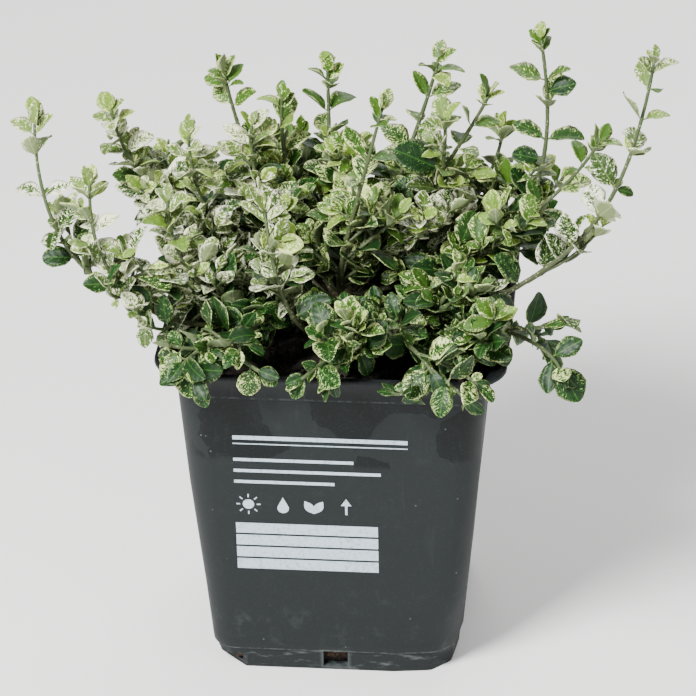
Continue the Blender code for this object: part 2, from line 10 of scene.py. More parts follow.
import json
import logging
import math
import random
from dataclasses import dataclass, field
from enum import Enum
from functools import partial

import bpy
import numpy as np
from mathutils import Matrix, Vector
from mathutils.bvhtree import BVHTree

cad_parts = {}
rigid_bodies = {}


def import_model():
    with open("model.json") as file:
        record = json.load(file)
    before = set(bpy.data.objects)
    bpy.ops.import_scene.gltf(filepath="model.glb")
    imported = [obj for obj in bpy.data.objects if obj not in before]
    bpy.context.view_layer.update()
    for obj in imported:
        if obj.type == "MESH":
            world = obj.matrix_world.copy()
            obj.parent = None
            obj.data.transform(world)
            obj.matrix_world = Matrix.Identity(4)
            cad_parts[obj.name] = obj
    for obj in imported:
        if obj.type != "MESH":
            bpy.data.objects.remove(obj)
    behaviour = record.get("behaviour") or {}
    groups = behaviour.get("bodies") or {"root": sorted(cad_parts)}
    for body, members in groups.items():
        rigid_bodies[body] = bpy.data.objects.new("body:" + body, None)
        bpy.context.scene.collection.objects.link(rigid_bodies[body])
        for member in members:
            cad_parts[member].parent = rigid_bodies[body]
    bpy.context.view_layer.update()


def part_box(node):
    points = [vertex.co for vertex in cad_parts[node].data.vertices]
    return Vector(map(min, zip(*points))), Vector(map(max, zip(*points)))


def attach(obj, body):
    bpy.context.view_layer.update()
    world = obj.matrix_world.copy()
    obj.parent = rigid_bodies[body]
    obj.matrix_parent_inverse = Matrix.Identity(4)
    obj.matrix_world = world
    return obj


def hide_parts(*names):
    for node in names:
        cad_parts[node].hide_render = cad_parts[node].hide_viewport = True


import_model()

LOG = logging.getLogger("wintercreeper")
MM = 0.001
UP = np.array((0.0, 0.0, 1.0))
BODY = "root"
SEAT_GAP = 0.3                # between the peat and the stem's flat foot

# Driving dimensions that the frame gives
POT_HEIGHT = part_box("pot")[1].z / MM
LIP_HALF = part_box("pot")[1].x / MM
PEAT_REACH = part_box("peat")[1].x / MM
STEM_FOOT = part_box("stem")[0].z / MM
STEM_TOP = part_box("stem")[1].z / MM
STEM_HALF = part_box("stem")[1].x / MM
PEAT_TOP = STEM_FOOT - SEAT_GAP

# Pot
LIP_HEIGHT = 9.0
LIP_EDGE = 1.5
LIP_THICK = 1.2
LEDGE = 0.5
LEDGE_LEVEL = POT_HEIGHT - LIP_HEIGHT
WALL_TOP_HALF = 39.7
WALL_FOOT_HALF = 33.0
FOOT_HALF = 31.8
FOOT_HEIGHT = 6.5
WALL = 1.0
FLOOR = 1.2
CORNER_TOP = 8.5
CORNER_FOOT = 6.5
LIP_CORNER = CORNER_TOP + 2.5
WINDOW_WIDTH = 6.5
WINDOW_HEIGHT = 5.0
NOTCH_DIAGONAL = 39.2
NOTCH_HEIGHT = 4.2
NOTCH_SIZE = 12.0
DENT_DEPTH = 3.0
DENT_HEIGHT = 24.0
DENT_SPREAD = 17.0
DENT_FADE = 1.6
BELLY_HEIGHT = 57.0
BELLY = 0.3

# Limbs: boughs that are closer round the stem than an angle are seated a tier apart
TIER_LOW = 88.9
TIER_STEP = 2.3
TIER_ANGLE = math.radians(29)
STEM_PROFILE = ((5.4, 0.0), (4.3, 1.4), (3.7, 4.0), (3.4, 9.0), (3.0, 12.0), (1.8, 13.4))  # radius, height
SEAT_DEPTH = 0.7              # share of the stem's radius at which a bough starts
LIMB_POINTS = 60              # that stand for a limb when its room is measured
CELL_CLEAR = 0.3              # between a twig or leaf and the edge of its room
WANDER = 0.25                 # of a limb to either side of its bend
KNOT = 0.13                   # how much thicker a limb is at a node

# Twigs
EXTRA_SIDES = 4               # side twigs more than the source's
LOW_TWIGS = 6
SPURS = 7                     # on each silver shoot that stands as a dense plume
LONE_BARE = 0.3               # a shoot that is bare beyond this share stands alone
LONE_TWIGS = (1, 3)           # its extra side twigs and its low twigs
SIDE_TRIES = 9
SIDE_TURN = math.radians(75)  # of each try from the last
SIDE_SHRINK = 0.93            # of its length at each try
SIDE_FALL = (1.12, 0.5)       # share of its length at the limb's foot, and how much that falls
SIDE_REACH = 0.8              # of its tip from its seat, as a share of its length
SIDE_ELBOW = (0.55, 0.6)      # how far out its elbow is, and how much that follows the limb
SIDE_DRESS = 0.12             # share where its leaves start
RISE = (0.5, 0.12)            # of a side twig for its length, in turn
DROOP = (-0.05, -0.4)         # the same on the shoots that hang over the rim
FINE_LENGTH = (6.0, 11.0)
FINE_STEP = 0.3               # between finer twigs, as a share of their twig

# Leaves
LEAF_AGES = (0.0, 0.35, 0.8, 1.0)     # 0 is old and dark, 1 young and pale
LEAF_SIZES = (11.8, 10.8, 9.4, 7.2)   # at those ages
YOUNG_HEIGHT = (0.3, 60.0)    # age on the peat, and the height over which it grows by 1
TIP_LEAF = (5.0, 7.0)
TIP_PAIRS = ((3.6, 0.75, 1.1), (1.6, 0.4, 1.1), (0.0, 0.13, 0.9))  # back, tilt and share of length
BUD_AGES = (0.15, 0.75)       # between which some nodes also carry a pair of small new leaves
BUD_CHANCE = 0.3
BUD_LEAF = (0.9, 4.6, 0.4, 0.7)       # its turn, length, how much younger it is and its tilt
INTERNODE = 10.2
TIP_CROWDING = 0.3            # how much shorter the internodes are at the tip
PLUME = 0.6                   # the same on the silver shoots that stand as dense plumes
TUFT = 3.5                    # of upright young leaves at the end of each twig
OPEN_TILT = math.radians(74)  # of an old leaf from its twig
LIGHT = np.array((-0.05, -0.4, 0.75))  # where the light that it grew in came from
HANG_FROM = 43.0              # beyond this reach at the sides and behind, no leaf hangs lower
HANG_SLOPE = 1.15             # than this slope from the pot's edge, but on the trailing shoots
LEAF_TRIES = ((1.0, 0.0), (0.9, 0.4), (0.85, -0.4), (0.72, 0.2), (0.6, -0.2))  # share and turn

# How the kinds of leaf are dealt out
DARK_HEIGHTS = (10, 24, 34, 50)       # above the peat
DARK_SHARES = (1.3, 0.95, 0.35, 0.04)
DARK_AGE = 1.1                # a leaf of this age would never be dark
DARK_ON_SILVER = 0.55
LIME_AGES = (0.6, 0.8, 1.0)
NOT_LIME = (1.0, 0.9, 0.66)   # share of the leaves that aren't lime at those ages
MARBLED_ON_SILVER = 0.45


class Variegation(Enum):
    """How much of a leaf is cream: the finishes that are dealt out by spray."""

    SILVER = "silver"
    MARBLED = "marbled"
    LIME = "lime"
    DARK = "dark"


@dataclass(frozen=True)
class Shoot:
    """One shoot: its elbow and tip, its share that is bough, its side twigs and finish."""

    name: str
    elbow: tuple[float, float, float]
    tip: tuple[float, float, float]
    bare: float
    sides: int
    finish: Variegation


@dataclass(frozen=True)
class Trait:
    """A leaf that the photograph shows apart from the rest: its place, way and looks."""

    shoot: str
    share: float
    along: tuple[float, float, float]
    length: float
    finish: Variegation


@dataclass(frozen=True)
class Runner:
    """A twig that the photograph shows at the rim or the edge: its seat on a limb and its line."""

    shoot: str
    share: float
    elbow: tuple[float, float, float]
    tip: tuple[float, float, float]
    young: float = 0.3       # the age of its leaves


@dataclass(frozen=True)
class TwigRow:
    """A row of twigs: the first one's share of its stretch, the step to the next and the chance."""

    start: float
    step: float
    chance: float
    lengths: tuple[float, float]
    finer: int               # finer twigs that each may carry


@dataclass(frozen=True)
class Girth:
    """A limb's radii and how woody it is, each at its foot and its tip, and its sides."""

    foot: float
    tip: float
    wood_foot: float
    wood_tip: float
    sides: int = 6


SIDE_ROW = TwigRow(0.06, 0.1, 0.07, (13.0, 24.0), 2)
EXTRA_ROW = TwigRow(0.0, 0.0, 0.42, (13.0, 24.0), 2)
LOW_ROW = TwigRow(0.4, 0.13, 0.08, (8.0, 17.0), 1)
SPUR_ROW = TwigRow(0.34, 0.085, 0.04, (4.0, 8.0), 0)
BOUGH_GIRTH = Girth(0.85, 0.4, 0.9, 0.1, 8)
RUNNER_GIRTH = Girth(0.55, 0.45, 0.3, 0.2)
SIDE_GIRTH = Girth(0.52, 0.3, 0.5, 0.0)

SILVER, MARBLED, LIME, DARK = Variegation
SHOOTS = (
    Shoot("far_left", (-75, -42, 98), (-75, -20, 157), 0.44, 1, SILVER),
    Shoot("left_back", (-56, 14, 108), (-61, 10, 146), 0.24, 4, SILVER),
    Shoot("left", (-60, -50, 98), (-60, -30, 145), 0.24, 5, SILVER),
    Shoot("left_inner", (-40, 2, 106), (-39, 0, 144), 0.22, 3, SILVER),
    Shoot("left_front", (-42, -24, 100), (-43, -15, 133), 0.20, 4, SILVER),
    Shoot("back_left", (-27, 30, 112), (-34, 30, 148), 0.22, 3, MARBLED),
    Shoot("centre_left", (-26, 10, 110), (-24, 12, 142), 0.22, 2, SILVER),
    Shoot("centre_back_left", (-19, 24, 112), (-17, 22, 146), 0.24, 2, MARBLED),
    Shoot("centre_back", (-6, 28, 116), (-6, 30, 151), 0.22, 3, MARBLED),
    Shoot("centre", (0, -17, 114), (13, -12, 159), 0.20, 3, MARBLED),
    Shoot("centre_back_right", (14, 30, 114), (24, 30, 154), 0.22, 2, MARBLED),
    Shoot("centre_right", (20, 16, 112), (39, 12, 152), 0.24, 2, MARBLED),
    Shoot("back_right", (38, 36, 102), (40, 38, 131), 0.22, 3, LIME),
    Shoot("right_inner", (28, 6, 104), (26, 12, 146), 0.22, 3, SILVER),
    Shoot("tall_right", (62, 6, 99), (50, 15, 167), 0.28, 2, MARBLED),
    Shoot("right", (46, -2, 108), (68, 0, 145), 0.26, 2, MARBLED),
    Shoot("far_right", (72, -17, 98), (80, -5, 171), 0.32, 1, SILVER),
    Shoot("front_right", (47, -35, 97), (41, -42, 116), 0.24, 4, LIME),
    Shoot("trailing_right", (53, -27, 105), (60, -45, 97), 0.26, 4, MARBLED),
    Shoot("front", (11, -45, 98), (4, -44, 116), 0.20, 5, LIME),
    Shoot("front_left", (-10, -46, 98), (-18, -20, 134), 0.18, 5, SILVER),
    Shoot("front_centre", (28, -28, 99), (32, -22, 120), 0.20, 5, LIME),
    Shoot("trailing_left", (-31, -40, 105), (-38, -49, 97), 0.22, 5, MARBLED),
    Shoot("trailing_front", (22, -42, 106), (29, -50, 97), 0.24, 4, MARBLED),
    Shoot("rear_left", (-46, 40, 100), (-52, 42, 119), 0.24, 3, MARBLED),
    Shoot("rear_middle_left", (-14, 48, 100), (-16, 54, 121), 0.24, 3, MARBLED),
    Shoot("rear_middle_right", (16, 50, 100), (18, 55, 119), 0.24, 3, MARBLED),
    Shoot("rear_right", (46, 34, 98), (58, 38, 117), 0.24, 3, MARBLED),
)

# Shoots whose stem the photograph shows in front of its leaves, and the share of the limb
# from which leaves stand on it
CLEAR = {"far_left": 0.6, "left": 0.3, "centre": 0.42, "front_left": 0.46, "tall_right": 0.5,
         "far_right": 0.36, "trailing_right": 0.3, "trailing_front": 0.3}

RUNNERS = (
    Runner("front", 0.45, (0.0, -44.0, 101.0), (-6.0, -48.5, 97.0)),
    Runner("front", 0.6, (3.0, -47.0, 101.0), (1.5, -49.0, 97.0)),
    Runner("trailing_front", 0.86, (21.0, -52.0, 93.5), (16.8, -50.6, 95.4)),
    Runner("trailing_front", 0.7, (33.0, -47.0, 101.0), (38.5, -49.0, 97.5)),
    Runner("trailing_front", 0.9, (33.0, -51.0, 97.5), (35.5, -51.0, 94.0)),
    Runner("trailing_left", 0.6, (-24.0, -44.0, 101.0), (-16.0, -47.5, 98.0)),
    Runner("trailing_left", 0.85, (-34.0, -48.0, 99.0), (-32.0, -50.0, 95.5)),
    Runner("trailing_left", 0.75, (-38.0, -44.0, 102.0), (-42.0, -43.0, 104.0), 0.6),
    Runner("left", 0.5, (-47.0, -38.0, 104.0), (-48.0, -42.0, 113.0), 0.6),
    Runner("left", 0.42, (-41.0, -37.0, 102.0), (-45.0, -42.0, 107.5), 0.6),
    Runner("left", 0.6, (-56.0, -40.0, 112.0), (-54.0, -44.0, 121.0), 0.6),
)
TRAITS = (
    Trait("far_left", 0.63, (-1.0, -0.1, 0.1), 8.6, DARK),
    Trait("far_left", 0.63, (0.55, 0.1, 0.8), 8.0, DARK),
    Trait("right_inner", 0.8, (-0.85, -0.1, 0.5), 14.0, DARK),
    Trait("tall_right", 0.72, (0.95, -0.15, 0.35), 11.5, DARK),
    Trait("tall_right", 0.72, (-0.95, -0.1, 0.3), 8.0, DARK),
    Trait("tall_right", 0.89, (0.9, -0.1, 0.4), 8.0, DARK),
    Trait("trailing_left", 0.9, (0.1, -0.5, -0.8), 10.0, MARBLED),
    Trait("trailing_right", 0.93, (0.5, -0.5, -0.6), 11.0, DARK),
    Trait("front", 0.5, (-0.25, -0.75, -0.6), 11.0, DARK),
    Trait("trailing_front", 0.9, (-0.5, -0.6, -0.5), 9.5, MARBLED),
)


def unit(way: np.ndarray) -> np.ndarray:
    """Returns vectors brought to length 1, along the last axis."""
    return way / np.maximum(np.linalg.norm(way, axis=-1, keepdims=True), 1e-9)


def linear(code: str) -> tuple[float, float, float, float]:
    """Turns an sRGB hex colour of six digits to linear red, green, blue and an alpha of 1."""
    parts = [int(code[i:i + 2], 16) / 255 for i in (0, 2, 4)]
    return (*[p / 12.92 if p <= 0.04045 else ((p + 0.055) / 1.055) ** 2.4 for p in parts], 1.0)


def put(tree: bpy.types.NodeTree, made: bpy.types.Node, values: dict) -> None:
    """Sets or links a node's sockets.

    Args:
        tree: the node tree.
        made: the node.
        values: a value or another node's output for each socket, by name or place.
    """
    for key, value in values.items():
        if isinstance(value, bpy.types.NodeSocket):
            tree.links.new(value, made.inputs[key])
        else:
            made.inputs[key].default_value = value


def node(tree: bpy.types.NodeTree, kind: str, inputs: dict, output: int | str = 0,
         **settings) -> bpy.types.NodeSocket:
    """Adds a node with its settings and links.

    Args:
        tree: the node tree.
        kind: the part of the node's type name after ShaderNode.
        inputs: a value or another node's output for each socket, by name or place.
        output: the output socket to return.
        settings: the node's own properties.
    Returns:
        One output socket.
    """
    made = tree.nodes.new("ShaderNode" + kind)
    for name, value in settings.items():
        setattr(made, name, value)
    put(tree, made, inputs)
    return made.outputs[output]


@dataclass(frozen=True)
class Finish:
    """The surface of one real material, as nodes on a Principled shader."""

    name: str

    def make(self) -> bpy.types.Material:
        """Returns the material."""
        material = bpy.data.materials.new(self.name)
        material.use_nodes = True
        tree = material.node_tree
        put(tree, tree.nodes["Principled BSDF"], self.surface(partial(node, tree)))
        return material

    def surface(self, add: partial) -> dict:
        """Lays the nodes.

        Args:
            add: adds a node to the material.
        Returns:
            A value or an output for each of the shader's sockets.
        """
        raise NotImplementedError


def mesh_object(name: str, points: np.ndarray, faces: list,
                material: bpy.types.Material) -> bpy.types.Object:
    """Makes a smooth mesh object at the origin.

    Args:
        name: its name.
        points: its points in millimetres, as (n, 3).
        faces: its faces, as places in points.
        material: its material.
    Returns:
        The object, linked to the scene.
    """
    mesh = bpy.data.meshes.new(name)
    mesh.from_pydata((points * MM).tolist(), [], faces)
    mesh.shade_smooth()
    mesh.materials.append(material)
    made = bpy.data.objects.new(name, mesh)
    bpy.context.scene.collection.objects.link(made)
    return made


def mark(mesh: bpy.types.Mesh, marks: dict[str, np.ndarray]) -> None:
    """Gives each point of a mesh its named vectors, which the finishes read.

    Args:
        mesh: the mesh.
        marks: the vectors for each name, one for each point.
    """
    for name, values in marks.items():
        layer = mesh.attributes.new(name, "FLOAT_VECTOR", "POINT")
        layer.data.foreach_set("vector", np.ascontiguousarray(values, np.float32).ravel())


class Pile:
    """Gathers many small surfaces, with their marks, and puts them into one mesh."""

    def __init__(self) -> None:
        """Starts with nothing in the pile."""
        self.points: list[np.ndarray] = []
        self.faces: list = []
        self.marks: dict[str, list[np.ndarray]] = {}
        self.count = 0

    def add(self, points: np.ndarray, faces: list, **marks: np.ndarray) -> None:
        """Adds a surface.

        Args:
            points: its points in millimetres, as (n, 3).
            faces: its faces, as places in points.
            marks: named vectors for each point, as (n, 3).
        """
        self.points.append(points)
        self.faces.extend([tuple(i + self.count for i in face) for face in faces])
        for name, values in marks.items():
            self.marks.setdefault(name, []).append(values)
        self.count += len(points)

    def build(self, name: str, material: bpy.types.Material) -> bpy.types.Object:
        """Makes one smooth mesh object of all that was added.

        Args:
            name: its name.
            material: its material.
        Returns:
            The object.
        """
        made = mesh_object(name, np.concatenate(self.points), self.faces, material)
        mark(made.data, {key: np.concatenate(values) for key, values in self.marks.items()})
        return made


def grid_faces(rows: int, columns: int, closed: bool = False) -> np.ndarray:
    """Joins a grid of points: each quad is a point, the one beside it and the two beyond.

    Args:
        rows: rows of points.
        columns: points in a row.
        closed: whether the last column joins the first.
    Returns:
        The quads, as (n, 4).
    """
    row, column = np.meshgrid(np.arange(rows - 1), np.arange(columns - (not closed)), indexing="ij")
    here = row * columns + column
    beside = row * columns + (column + 1) % columns
    return np.stack((here, beside, beside + columns, here + columns), -1).reshape(-1, 4)


def tube_faces(rows: int, columns: int) -> list[list[int]]:
    """Joins rings to a closed tube.

    Args:
        rows: rings.
        columns: points in a ring.
    Returns:
        Its quads, and a cap at each end.
    """
    foot = list(range(columns))[::-1]
    tip = list(range((rows - 1) * columns, rows * columns))
    return [*grid_faces(rows, columns, True).tolist(), foot, tip]


@dataclass(frozen=True)
class Bend:
    """A quadratic bend: start (1-t)^2 + 2 t (1-t) elbow + t^2 tip."""

    start: np.ndarray
    elbow: np.ndarray
    tip: np.ndarray

    def at(self, t: float | np.ndarray) -> np.ndarray:
        """Returns the points at shares t of the bend."""
        t = np.asarray(t, float)[..., None]
        return self.start * (1 - t) ** 2 + self.elbow * (2 * t * (1 - t)) + self.tip * t ** 2

    def way(self, t: float | np.ndarray) -> np.ndarray:
        """Returns the unit tangents at shares t."""
        t = np.asarray(t, float)[..., None]
        return unit((self.elbow - self.start) * (1 - t) + (self.tip - self.elbow) * t)

    def length(self, first: float = 0.0, last: float = 1.0) -> float:
        """Returns the length between two shares."""
        points = self.at(np.linspace(first, last, 24))
        return float(np.linalg.norm(np.diff(points, axis=0), axis=1).sum())


def stem_radius(z: float) -> float:
    """Returns half the stem's width at a height."""
    radii, heights = zip(*STEM_PROFILE)
    return float(np.interp(z - STEM_FOOT, heights, radii))


def tiers() -> dict[str, int]:
    """Gives each shoot the lowest tier that has room for it, the flattest first."""
    found: dict[str, int] = {}
    around = {s.name: math.atan2(s.elbow[1], s.elbow[0]) for s in SHOOTS}
    rise = {s.name: (s.elbow[2] - PEAT_TOP) / math.hypot(*s.elbow[:2]) for s in SHOOTS}
    for name in sorted(rise, key=rise.get):
        near = [
            tier for other, tier in found.items()
            if abs(math.remainder(around[other] - around[name], 2 * math.pi)) < TIER_ANGLE
        ]
        found[name] = next(tier for tier in range(len(SHOOTS)) if tier not in near)
    return found


def limb_of(shoot: Shoot, tier: int) -> Bend:
    """Works out a shoot's whole line, from its seat on the stem to its tip.

    Args:
        shoot: the shoot.
        tier: how many tiers up the stem it is seated.
    Returns:
        The line.
    """
    elbow = np.array(shoot.elbow, float)
    level = TIER_LOW + TIER_STEP * tier
    flat = unit(elbow * (1, 1, 0))
    tip = np.array(shoot.tip, float)
    seat = flat * (SEAT_DEPTH * stem_radius(level)) + UP * level
    return Bend(seat, elbow, tip - unit(tip - elbow) * TUFT)


class Space:
    """The room that belongs to each mass: all that lies nearest to its own limb."""

    STEM_CLEAR = (0.4, 1.0)   # beside and above the stem
    POT_CLEAR = 0.5           # beside and above the lip
    WALL_CLEAR = 1.7          # from the wall's outside, for what stands in the pot
    PEAT_CLEAR = 1.6

    def __init__(self, limbs: list[Bend]) -> None:
        """Keeps points along every limb."""
        self.points = np.stack([limb.at(np.linspace(0, 1, LIMB_POINTS)) for limb in limbs])

    def blocked(self, points: np.ndarray) -> bool:
        """Tests points against the pot, the peat and the stem.

        Args:
            points: the points, as (n, 3).
        Returns:
            Whether any of them lies in or too near one of these.
        """
        x, y, z = points.T
        wide = np.maximum(abs(x), abs(y))
        beside, above = self.STEM_CLEAR
        in_stem = (np.hypot(x, y) < STEM_HALF + beside) & (z < STEM_TOP + above)
        low = (wide < LIP_HALF + self.POT_CLEAR) & (z < POT_HEIGHT + self.POT_CLEAR)
        in_wall = wide > WALL_TOP_HALF - self.WALL_CLEAR
        return bool((in_stem | (low & (in_wall | (z < PEAT_TOP + self.PEAT_CLEAR)))).any())

    def holds(self, owner: int, points: np.ndarray) -> bool:
        """Tests points against the rooms of all the limbs.

        Args:
            owner: the place of their own limb.
            points: the points, as (n, 3).
        Returns:
            Whether all of them keep to their own limb's room.
        """
        if self.blocked(points):
            return False
        gaps = np.linalg.norm(points[:, None, None] - self.points[None], axis=-1).min(axis=-1)
        own = gaps[:, owner].copy()
        gaps[:, owner] = np.inf
        return bool((own + CELL_CLEAR < gaps.min(axis=1)).all())


@dataclass
class Leaf:
    """One leaf: where it stands, how it is held and what it looks like."""

    root: np.ndarray
    along: np.ndarray
    face: np.ndarray
    length: float
    finish: Variegation
    age: float               # 0 old and dark, 1 young and pale
    cream: float
    shape: np.ndarray        # five numbers from 0 to 1: width, fold, curl, wave, seed


@dataclass
class Limb:
    """One limb or twig: its line, its radii, how woody it is and how many sides it has."""

    path: np.ndarray
    radius: np.ndarray
    woody: np.ndarray
    sides: int
    seed: float


@dataclass
class Plant:
    """Grows every limb, twig and leaf by the seeded rule."""

    leaves: list[Leaf] = field(default_factory=list)
    limbs: list[Limb] = field(default_factory=list)

    def __post_init__(self) -> None:
        """Lays out the limbs and their rooms, and grows each shoot."""
        level = tiers()
        bends = [limb_of(shoot, level[shoot.name]) for shoot in SHOOTS]
        self.space = Space(bends)
        for owner, shoot in enumerate(SHOOTS):
            self.owner = owner
            self.shoot = shoot
            self.trails = "trailing" in shoot.name
            self.chance = random.Random(shoot.name)
            self.grown: list[BVHTree] = []
            self.grow(bends[owner])
            LOG.info("shoot %s grown", shoot.name)

    def grow(self, bend: Bend) -> None:
        """Grows one shoot: its limb, what stands at known places, its twigs and its leaves.

        Args:
            bend: the limb's line.
        """
        shoot = self.shoot
        bare = shoot.bare
        self.limb(bend, 1.0, BOUGH_GIRTH)
        for trait in TRAITS:
            if trait.shoot == shoot.name:
                self.show(bend, trait)
        for runner in RUNNERS:
            if runner.shoot == shoot.name:
                self.run(bend, runner)
        extra, low = LONE_TWIGS if bare > LONE_BARE else (EXTRA_SIDES, LOW_TWIGS)
        self.row(bend, SIDE_ROW, shoot.sides, bare, 1 - bare)
        self.row(bend, EXTRA_ROW, extra, bare, 1 - bare)
        self.row(bend, LOW_ROW, low, 0.0, bare)
        if shoot.finish == SILVER and bare < LONE_BARE:
            self.row(bend, SPUR_ROW, SPURS, 0.0, 1.0)
        ages = (0.2, 0.45) if self.trails else (0.0, 1.0)
        self.dress(bend, CLEAR.get(shoot.name, bare * 0.8), *ages)

    def row(self, bend: Bend, row: TwigRow, count: int, base: float, stretch: float) -> None:
        """Sets twigs at base + stretch x (start + step x number + chance) of a limb.

        Args:
            bend: the limb.
            row: the kind of twigs and how they are spaced.
            count: how many.
            base: the share of the limb where the row's stretch starts.
            stretch: the share of the limb that it takes.
        """
        for number in range(count):
            place = row.start + row.step * number + self.chance.uniform(0.0, row.chance)
            self.side(bend, base + stretch * place, row.lengths, row.finer)

    def show(self, bend: Bend, trait: Trait) -> None:
        """Adds a leaf of the table, with its face to the light, where there is room for it.

        Args:
            bend: the limb that carries it.
            trait: its place, way and looks.
        """
        along = unit(np.array(trait.along))
        face = np.array((0.0, -0.6, 0.8))
        face = unit(face - along * (face @ along))
        shape = np.array((0.8, 0.25, 0.3, 0.5, self.chance.random()))
        age = 0.1 if trait.finish == DARK else 0.4
        leaf = Leaf(bend.at(trait.share), along, face, trait.length, trait.finish, age, 0.5, shape)
        if self.fits(leaf):
            self.leaves.append(leaf)

    def run(self, bend: Bend, runner: Runner) -> None:
        """Adds a twig of the table with its leaves, where there is room for it.

        Args:
            bend: the limb that carries it.
            runner: its seat and line.
        """
        twig = Bend(bend.at(runner.share), np.array(runner.elbow), np.array(runner.tip))
        if self.space.holds(self.owner, twig.at(np.linspace(0.4, 1, 6))):
            leafy = self.dress(twig, 0.1, runner.young, runner.young + 0.15)
            self.limb(twig, max(leafy, 0.2), RUNNER_GIRTH)
        else:
            LOG.info("no room for the twig of %s to %s", runner.shoot, runner.tip)

    def limb(self, bend: Bend, last: float, girth: Girth) -> None:
        """Adds the tube of a limb, a little thicker at each node.

        Its line is the bend, with a sine of 9 mm across each way, and its radius falls evenly
        from foot to tip, with a bell of a knot in each internode.

        Args:
            bend: its line.
            last: the share of that line where it ends.
            girth: its radii, wood and sides.
        """
        length = bend.length(0.0, last)
        share = np.linspace(0, 1, max(6, round(length / 1.3)))
        seed = self.chance.uniform(0, 99)
        wander = np.stack([np.sin(share * length / 9 + seed + k) for k in (0.0, 2.1, 4.2)], -1)
        path = bend.at(last * share) + wander * (WANDER * np.sin(np.pi * share) ** 0.5)[:, None]
        knots = KNOT * np.exp(-((share * length / INTERNODE) % 1 - 0.5) ** 2 / 0.008)
        radius = (girth.foot + (girth.tip - girth.foot) * share) * (1 + knots)
        woody = girth.wood_foot + (girth.wood_tip - girth.wood_foot) * share
        self.limbs.append(Limb(path, radius, woody, girth.sides, seed))

    def side(self, bend: Bend, t: float, lengths: tuple[float, float], finer: int) -> None:
        """Adds a side twig that bends up to the light, with its own leaves.

        Args:
            bend: the limb or twig that carries it.
            t: its share of that limb.
            lengths: the shortest and the longest that it may be.
            finer: how many finer twigs it may carry.
        """
        root, way = bend.at(t), bend.way(t)
        around = self.chance.uniform(0.0, 2 * math.pi)
        length = self.chance.uniform(*lengths) * (SIDE_FALL[0] - SIDE_FALL[1] * t)
        for attempt in range(SIDE_TRIES):
            angle = around + attempt * SIDE_TURN
            behind = abs(math.sin(angle)) if self.shoot.name in CLEAR else math.sin(angle)
            out = unit(np.array((math.cos(angle), behind, 0.2)))
            rise = (DROOP if self.trails else RISE)[attempt % 2]
            tip = root + out * (SIDE_REACH * length) + UP * (rise * length)
            elbow = root + unit(out + way * SIDE_ELBOW[1]) * (SIDE_ELBOW[0] * length)
            twig = Bend(root, elbow, tip)
            length *= SIDE_SHRINK
            if not self.space.holds(self.owner, twig.at(np.linspace(0.3, 1, 6))):
                continue
            young = min(1.0, YOUNG_HEIGHT[0] + (tip[2] - PEAT_TOP) / YOUNG_HEIGHT[1])
            leafy = self.dress(twig, SIDE_DRESS, 0.25 * young, young)
            if not leafy:
                continue
            self.limb(twig, leafy, SIDE_GIRTH)
            for number in range(finer):
                share = FINE_STEP + FINE_STEP * number
                if leafy > share:
                    self.side(twig, share, FINE_LENGTH, 0)
            return

    def dress(self, bend: Bend, first: float, old: float, young: float) -> float:
        """Sets pairs of leaves along a bend, each a quarter turn from the last.

        Args:
            bend: the limb or twig.
            first: the share where its leaves start.
            old: the age of its first leaves, from 0 old to 1 young.
            young: the age of its last leaves.
        Returns:
            The share of the last node that has a leaf, or 0 where none found room.
        """
        length = bend.length(first, 1.0)
        leafy = 0.0
        plume = self.shoot.finish == SILVER and self.shoot.name not in CLEAR
        step = INTERNODE * (PLUME if plume else 1.0)
        turn = self.chance.uniform(0.0, math.pi)
        gone = 0.3 * INTERNODE
        while gone < length - 2.0:
            share = gone / length
            t = first + (1.0 - first) * share
            age = old + (young - old) * share
            size = float(np.interp(age, LEAF_AGES, LEAF_SIZES))
            if self.pair(bend.at(t), bend.way(t), turn, size, age, OPEN_TILT * (1 - 0.35 * age)):
                leafy = t
            if BUD_AGES[0] < age < BUD_AGES[1] and self.chance.random() < BUD_CHANCE:
                beyond, small, younger, tilt = BUD_LEAF
                self.pair(bend.at(t), bend.way(t), turn + beyond, small, min(1.0, age + younger), tilt)
            turn += math.pi / 2
            gone += step * (1 - TIP_CROWDING * share) * self.chance.uniform(0.75, 1.25)
        end, way = bend.at(1.0), bend.way(1.0)
        for number, (back, tilt, share) in enumerate(TIP_PAIRS[int(young < 0.7):]):
            reach = self.chance.uniform(*TIP_LEAF) * share
            if self.pair(end - way * back, way, turn + number * math.pi / 2, reach, young, tilt):
                leafy = 1.0
        return leafy

